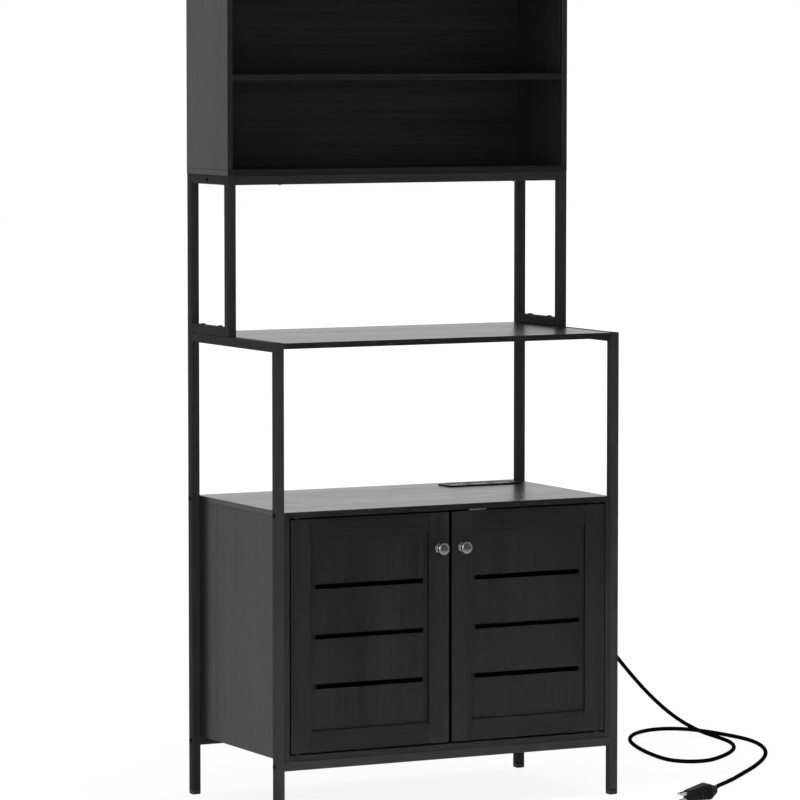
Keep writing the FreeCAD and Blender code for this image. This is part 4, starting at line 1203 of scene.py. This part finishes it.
@dataclass(frozen=True)
class Door:
    """One slotted door: grain, turned knob, strike and screws. The knob's outline is in millimetres."""

    side: Side
    knob_radius: float = 13.0
    knob_dome: float = 6.5
    knob_tip: float = 0.4
    knob_stem: Profile = (
        (2.0, -12.9), (2.0, 0.0), (9.0, 0.0), (9.8, 0.3), (10.0, 0.9), (10.0, 2.0), (9.6, 2.6), (8.4, 3.1),
        (6.6, 4.0), (5.4, 5.4), (5.0, 7.2), (5.0, 9.3), (5.4, 10.8), (6.6, 12.3), (8.8, 14.0), (11.0, 15.7),
        (12.3, 17.2), (12.9, 19.0))
    dome_steps: int = 14
    knob_segments: int = 72
    strike_level: float = 5.5 * MM
    strike_screw: Fastener = Fastener(6 * MM, 1.1 * MM, 3.5 * MM, 0.6 * MM, Drive.CROSS, 1.6 * MM)
    knob_screw: Fastener = Fastener(9 * MM, 2.0 * MM, 4 * MM, 0.4 * MM, Drive.CROSS, 2.2 * MM)

    @property
    def name(self) -> str:
        """The door's body, whose name its nodes start with."""
        return f"door_{self.side.name.lower()}"

    def knob(self) -> None:
        """A smooth turned knob in the place of the model's plain one, and the screw that holds it."""
        node = f"{self.name}_knob"
        low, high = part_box(node)
        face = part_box(f"{self.name}_stiles")[0].y
        spot = Vector(((low.x + high.x) / 2, face, (low.z + high.z) / 2))
        reach = (face - low.y) / MM
        profile = list(self.knob_stem)
        for i in range(self.dome_steps):
            angle = math.pi / 2 * i / self.dome_steps
            level = reach - self.knob_dome + self.knob_dome * math.sin(angle)
            profile.append((self.knob_radius * math.cos(angle), level))
        profile.append((self.knob_tip, reach))
        stock = Stock()
        stock.lathe(metres(profile), Matrix.Translation(spot) @ Matrix.Rotation(math.pi / 2, 4, "X"),
                    self.knob_segments)
        stock.piece(f"{node}_turned", Finishes.KNOB, self.name, "knob_metal", Matrix.Translation(spot),
                    [node], angle=50)
        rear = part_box(f"{self.name}_rails")[1].y
        back = aimed((spot.x, rear, spot.z), (0, 1, 0))
        self.knob_screw.fit(f"{node}_screw", [back], Finishes.ZINC, "zinc_steel", self.name)

    def strike(self) -> None:
        """The screw in the strike plate."""
        low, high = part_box(f"{self.name}_strike")
        place = aimed((low.x + (high.x - low.x) / 2, high.y, low.z + self.strike_level), (0, 1, 0))
        self.strike_screw.fit(f"{self.name}_strike_screw", [place], Finishes.ZINC, "zinc_steel", self.name)

    def build(self) -> None:
        """Dress the door and add its fittings."""
        dress(Finishes.DOOR_UPRIGHT_EDGE_SHADE, f"{self.name}_stiles", f"{self.name}_panel")
        dress(Finishes.DOOR_ACROSS_EDGE_SHADE, f"{self.name}_rails")
        dress(Finishes.BOLT, f"{self.name}_pivots")
        # The left strike takes the darkened zinc copy: painted shade.
        dress(Finishes.ZINC if self.side is Side.RIGHT else Finishes.ZINC_PAINTED_SHADE, f"{self.name}_strike")
        self.knob()
        self.strike()


@dataclass(frozen=True)
class PowerStrip:
    """The strip in the worktop: bezel, socket modules, contacts and port shells."""

    module_pitch: float = 54 * MM
    slot_pitch: float = 12.7 * MM
    slot_row: float = 5.95 * MM
    leaf_offset: float = 0.55 * MM
    leaf_half: Span = (0.35 * MM, 3.4 * MM)
    leaf_depths: Span = (11.8 * MM, 4 * MM)
    leaf_ease: float = 0.1 * MM
    port_pitch: float = 11 * MM
    port_depth: float = 9 * MM
    shell_sunk: float = 0.3 * MM
    shell_inside: Span = (4.15 * MM, 1.3 * MM)
    shell_outside: Span = (4.4 * MM, 1.55 * MM)
    shell_steps: int = 8
    tongue_half: Span = (3.1 * MM, 0.35 * MM)
    tongue_sunk: float = 1.6 * MM
    tongue_ease: float = 0.12 * MM

    def leaves(self, middle: Vector) -> None:
        """Brass leaves deep in the blade slots of two sockets.

        Args:
            middle: the middle of the modules' top.
        """
        half_x, half_y = self.leaf_half
        low, high = (middle.z - depth for depth in self.leaf_depths)
        stock = Stock()
        for offset in (-self.module_pitch, 0.0):
            for side in Side:
                x = middle.x + offset + side.value * (self.slot_pitch / 2 + self.leaf_offset)
                y = middle.y + self.slot_row
                stock.block((x - half_x, y - half_y, low), (x + half_x, y + half_y, high), self.leaf_ease)
        stock.piece("socket_contacts", Finishes.BRASS, "frame", "plated_brass")

    def ports(self, middle: Vector) -> None:
        """Plated shells with a tongue in the ports.

        Args:
            middle: the middle of the modules' top.
        """
        wide, thick = self.tongue_half
        shells, tongues = Stock(), Stock()
        for row in (-1, 0, 1):
            port = Vector((self.module_pitch, row * self.port_pitch, 0))
            place = Matrix.Translation(middle + port)
            shells.loft([self.oval(place, self.shell_inside, self.port_depth),
                         self.oval(place, self.shell_inside, self.shell_sunk),
                         self.oval(place, self.shell_outside, self.shell_sunk),
                         self.oval(place, self.shell_outside, self.port_depth)], (True, False))
            tongues.block((-wide, -thick, -self.port_depth), (wide, thick, -self.tongue_sunk),
                          self.tongue_ease, place)
        shells.piece("port_shells", Finishes.ZINC, "frame", "zinc_steel")
        tongues.piece("port_tongues", Finishes.SOCKET, "frame", "strip_plastic")

    def oval(self, place: Matrix, half: Span, depth: float) -> list[Vector]:
        """Points round an oval with round ends.

        Args:
            place: the port's mouth.
            half: half of the oval's width and of its height.
            depth: how far below the mouth it lies.

        Returns:
            The points.
        """
        width, height = half
        points = []
        for side in (1, -1):
            for i in range(self.shell_steps + 1):
                angle = -math.pi / 2 + math.pi * i / self.shell_steps
                across = side * (width - height + height * math.cos(angle))
                points.append(place @ Vector((across, side * height * math.sin(angle), -depth)))
        return points

    def build(self) -> None:
        """Dress the strip and add what is inside its holes."""
        dress(Finishes.BEZEL, "power_bezel")
        dress(Finishes.SOCKET, "power_sockets")
        dress(Finishes.HOUSING, "power_housing", "cord_gland")
        low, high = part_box("power_sockets")
        middle = Vector(((low.x + high.x) / 2, (low.y + high.y) / 2, high.z))
        self.leaves(middle)
        self.ports(middle)


@dataclass(frozen=True)
class PowerCord:
    """The cord from the strip to its plug, as it hangs and lies in the photograph.

    The route and all sizes of the plug are in millimetres, its turn and droop in degrees. The ridges of the
    sleeve, the grip grooves and the rounded face are outlines of change across and place along.
    """

    diameter: float = 0.009
    length: float = 3.11
    route: tuple[Spot, ...] = (
        (310, 220, 604), (310, 262, 604), (328, 304, 595), (366, 342, 572), (424, 376, 533), (500, 410, 476),
        (588, 442, 400), (678, 470, 316), (760, 492, 230), (834, 505, 150), (898, 502, 83), (946, 474, 36),
        (978, 422, 11), (991, 352, 4.5), (978, 284, 4.5), (942, 212, 4.5), (890, 152, 4.5), (840, 111, 4.5),
        (802, 86, 4.5), (767, 82, 4.5), (738, 98, 4.5), (722, 128, 4.5), (722, 172, 4.5), (733, 246, 4.5),
        (756, 336, 4.5), (789, 422, 4.5), (838, 492, 4.5), (898, 535, 4.5), (954, 540, 4.5), (996, 508, 4.5),
        (1017, 450, 4.5), (1031, 380, 4.5), (1037, 306, 4.5), (1019, 224, 4.5), (977, 134, 4.5),
        (916, 48, 4.5), (838, -38, 4.5), (758, -114, 4.5), (706, -167, 6), (660, -216, 10), (618, -264, 15),
        (585, -300, 18.928), (561, -328, 18.928))
    bend: float = 10.0
    turn: float = -47.0
    droop: float = 6.5
    sleeve_start: Profile = ((4.6, 0.0), (5.4, 0.15), (5.7, 0.6))
    sleeve_end: Profile = ((7.6, 14.0), (8.0, 19.5))
    ridge: Profile = ((0, 0), (0.15, 1.6), (-0.9, 1.8), (-0.9, 2.9), (0.3, 3.1))
    ridges: tuple[float, ...] = (1.2, 4.4, 7.6)
    ridge_swell: float = 0.12
    sleeve_segments: int = 40
    foot: float = 18.0
    body: Span = (41.0, 34.0)
    swell: Profile = ((-3, 0.42), (0, 0.53), (4, 0.62), (8, 0.72), (12, 0.84), (15, 0.93), (18, 0.985))
    swell_corner: float = 9.5
    body_start: float = 3.0
    body_corner: float = 9.0
    grooves: tuple[float, ...] = (30.0, 37.0, 44.0, 51.0)
    groove: Profile = ((0.0, -2.2), (1.3, -1.4), (1.3, 1.4), (0.0, 2.2))
    face: float = 70.0
    face_round: Profile = ((0.0, -4.0), (0.5, -2.0), (1.7, -0.7), (3.6, 0.0))
    blade_offset: float = 6.35
    pin_row: float = 5.95
    blade_half: Span = (0.75, 3.15)
    blade_hole: float = 1.6
    hole_ahead: float = 12.8
    blade_tip: float = 4.2
    blade_chamfer: float = 5.9
    blade_segments: int = 40
    earth_pin: Profile = ((2.4, -0.5), (2.4, 17.4), (2.2, 18.6), (1.7, 19.4), (0.9, 19.9))
    pin_segments: int = 28

    def lead(self) -> bpy.types.Object:
        """The cord itself, on the route's smooth curve.

        Returns:
            The cord's piece.
        """
        data = bpy.data.curves.new("power_lead", "CURVE")
        data.dimensions = "3D"
        data.bevel_depth = self.diameter / 2
        data.bevel_resolution = 6
        data.resolution_u = 10
        data.use_fill_caps = True
        line = data.splines.new("NURBS")
        line.points.add(len(self.route) - 1)
        for point, spot in zip(line.points, self.route):
            point.co = (*[value * MM for value in spot], 1)
        line.order_u = 3
        line.use_endpoint_u = True
        made = bpy.data.objects.new("power_lead", data)
        bpy.context.scene.collection.objects.link(made)
        return settle_piece(made, Finishes.JACKET, "frame", ["power_cord"])

    def frames(self) -> tuple[Matrix, Matrix]:
        """Frames of the sleeve and of the bent plug.

        Returns:
            One with its third axis along the cord's end, and one with it along the blades.
        """
        tail, tip = (Vector(spot) * MM for spot in self.route[-2:])
        along = (tip - tail).normalized()
        up = Vector((0, 0, 1))
        basis = Matrix((up.cross(along), up, along)).transposed().to_4x4()
        aside = Matrix.Rotation(math.radians(self.turn), 4, "Y")
        down = Matrix.Rotation(math.radians(self.droop), 4, "X")
        plug = Matrix.Translation(tip + along * self.bend * MM) @ basis @ (aside @ down)
        return Matrix.Translation(tip) @ basis, plug

    def sections(self) -> list[tuple[float, float, float, float]]:
        """Rings round the plug, which swells from the sleeve and then slopes to its face.

        Returns:
            Level, width, height and corner of each ring.
        """
        width, height = self.body
        rings = [(level, width * share, height * share, self.swell_corner * share)
                 for level, share in self.swell]
        steps = [(0.0, self.foot + self.body_start)]
        for middle in self.grooves:
            steps += [(sunk, middle + place) for sunk, place in self.groove]
        steps += [(sunk, self.face + place) for sunk, place in self.face_round]
        slope = 2 * math.tan(math.radians(self.droop))
        for sunk, level in steps:
            less = slope * (level - self.foot) + sunk
            rings.append((level, width - less, height - less, self.body_corner))
        return rings

    def plug(self) -> bpy.types.Object:
        """The moulded plug: a ridged sleeve and a swelling body with grip grooves round it.

        Returns:
            The plug's piece.
        """
        sleeve, plug = self.frames()
        profile = list(self.sleeve_start)
        for level in self.ridges:
            radius = self.sleeve_start[-1][0] + level * self.ridge_swell
            profile += [(radius + change, level + rise) for change, rise in self.ridge]
        profile += self.sleeve_end
        stock = Stock()
        stock.lathe(metres(profile), sleeve, self.sleeve_segments)
        rings = []
        for level, width, height, corner in self.sections():
            outline = rounded(width / 2 * MM, height / 2 * MM, corner * MM)
            rings.append([plug @ Vector((u, v, level * MM)) for u, v in outline])
        stock.loft(rings)
        return stock.piece("plug_moulding", Finishes.PLUG, "frame", "moulded_black", replaces=["plug_body"])

    def blade_reach(self, across: float, ahead: float) -> float:
        """Distance from a blade's hole to its outline.

        Args:
            across: the direction's part across the blade.
            ahead: its part towards the tip.

        Returns:
            The distance to the nearest of the blade's edges, its ends and its bevelled corners.
        """
        tiny = 1e-6
        end = self.blade_tip if ahead > 0 else self.hole_ahead
        return min(self.blade_half[1] / max(abs(across), tiny), end / max(abs(ahead), tiny),
                   self.blade_chamfer / (abs(across) + max(ahead, tiny)))

    def blade(self, plug: Matrix, side: Side) -> list[list[Vector]]:
        """Rings over a blade's rim, through its hole and back to the rim.

        Args:
            plug: the plug's frame.
            side: which of the two blades.

        Returns:
            The rings.
        """
        thick = self.blade_half[0]
        section = ((False, -thick), (False, thick), (True, thick), (True, -thick), (False, -thick))
        rings = []
        for pierced, offset in section:
            ring = []
            for i in range(self.blade_segments):
                angle = 2 * math.pi * i / self.blade_segments
                across, ahead = math.cos(angle), math.sin(angle)
                reach = self.blade_hole if pierced else self.blade_reach(across, ahead)
                spot = (side.value * self.blade_offset + offset, self.pin_row + reach * across,
                        self.face + self.hole_ahead + reach * ahead)
                ring.append(plug @ Vector([value * MM for value in spot]))
            rings.append(ring)
        return rings

    def pins(self) -> bpy.types.Object:
        """Two flat blades with a hole each, and the round pin.

        Returns:
            The pins' piece.
        """
        plug = self.frames()[1]
        stock = Stock()
        for side in Side:
            stock.loft(self.blade(plug, side), (False, False))
        root = plug @ Matrix.Translation((0, -self.pin_row * MM, 0))
        profile = metres((radius, self.face + level) for radius, level in self.earth_pin)
        stock.lathe(profile, root, self.pin_segments)
        return stock.piece("plug_blades", Finishes.BLADE, "frame", "plated_brass", replaces=["plug_pins"])

    def build(self) -> None:
        lead = self.lead()
        self.plug()
        self.pins()


def main() -> None:
    """Build the studio and every sub-assembly in order."""
    logging.basicConfig(level=logging.INFO, format="%(name)s: %(message)s")
    layout = Layout.read()
    Studio().build()
    PowerCord().build()
    TubeFrame(layout).build()
    Boards().build()
    for side in Side:
        Door(side).build()
    PowerStrip().build()


if __name__ == "__main__":
    main()
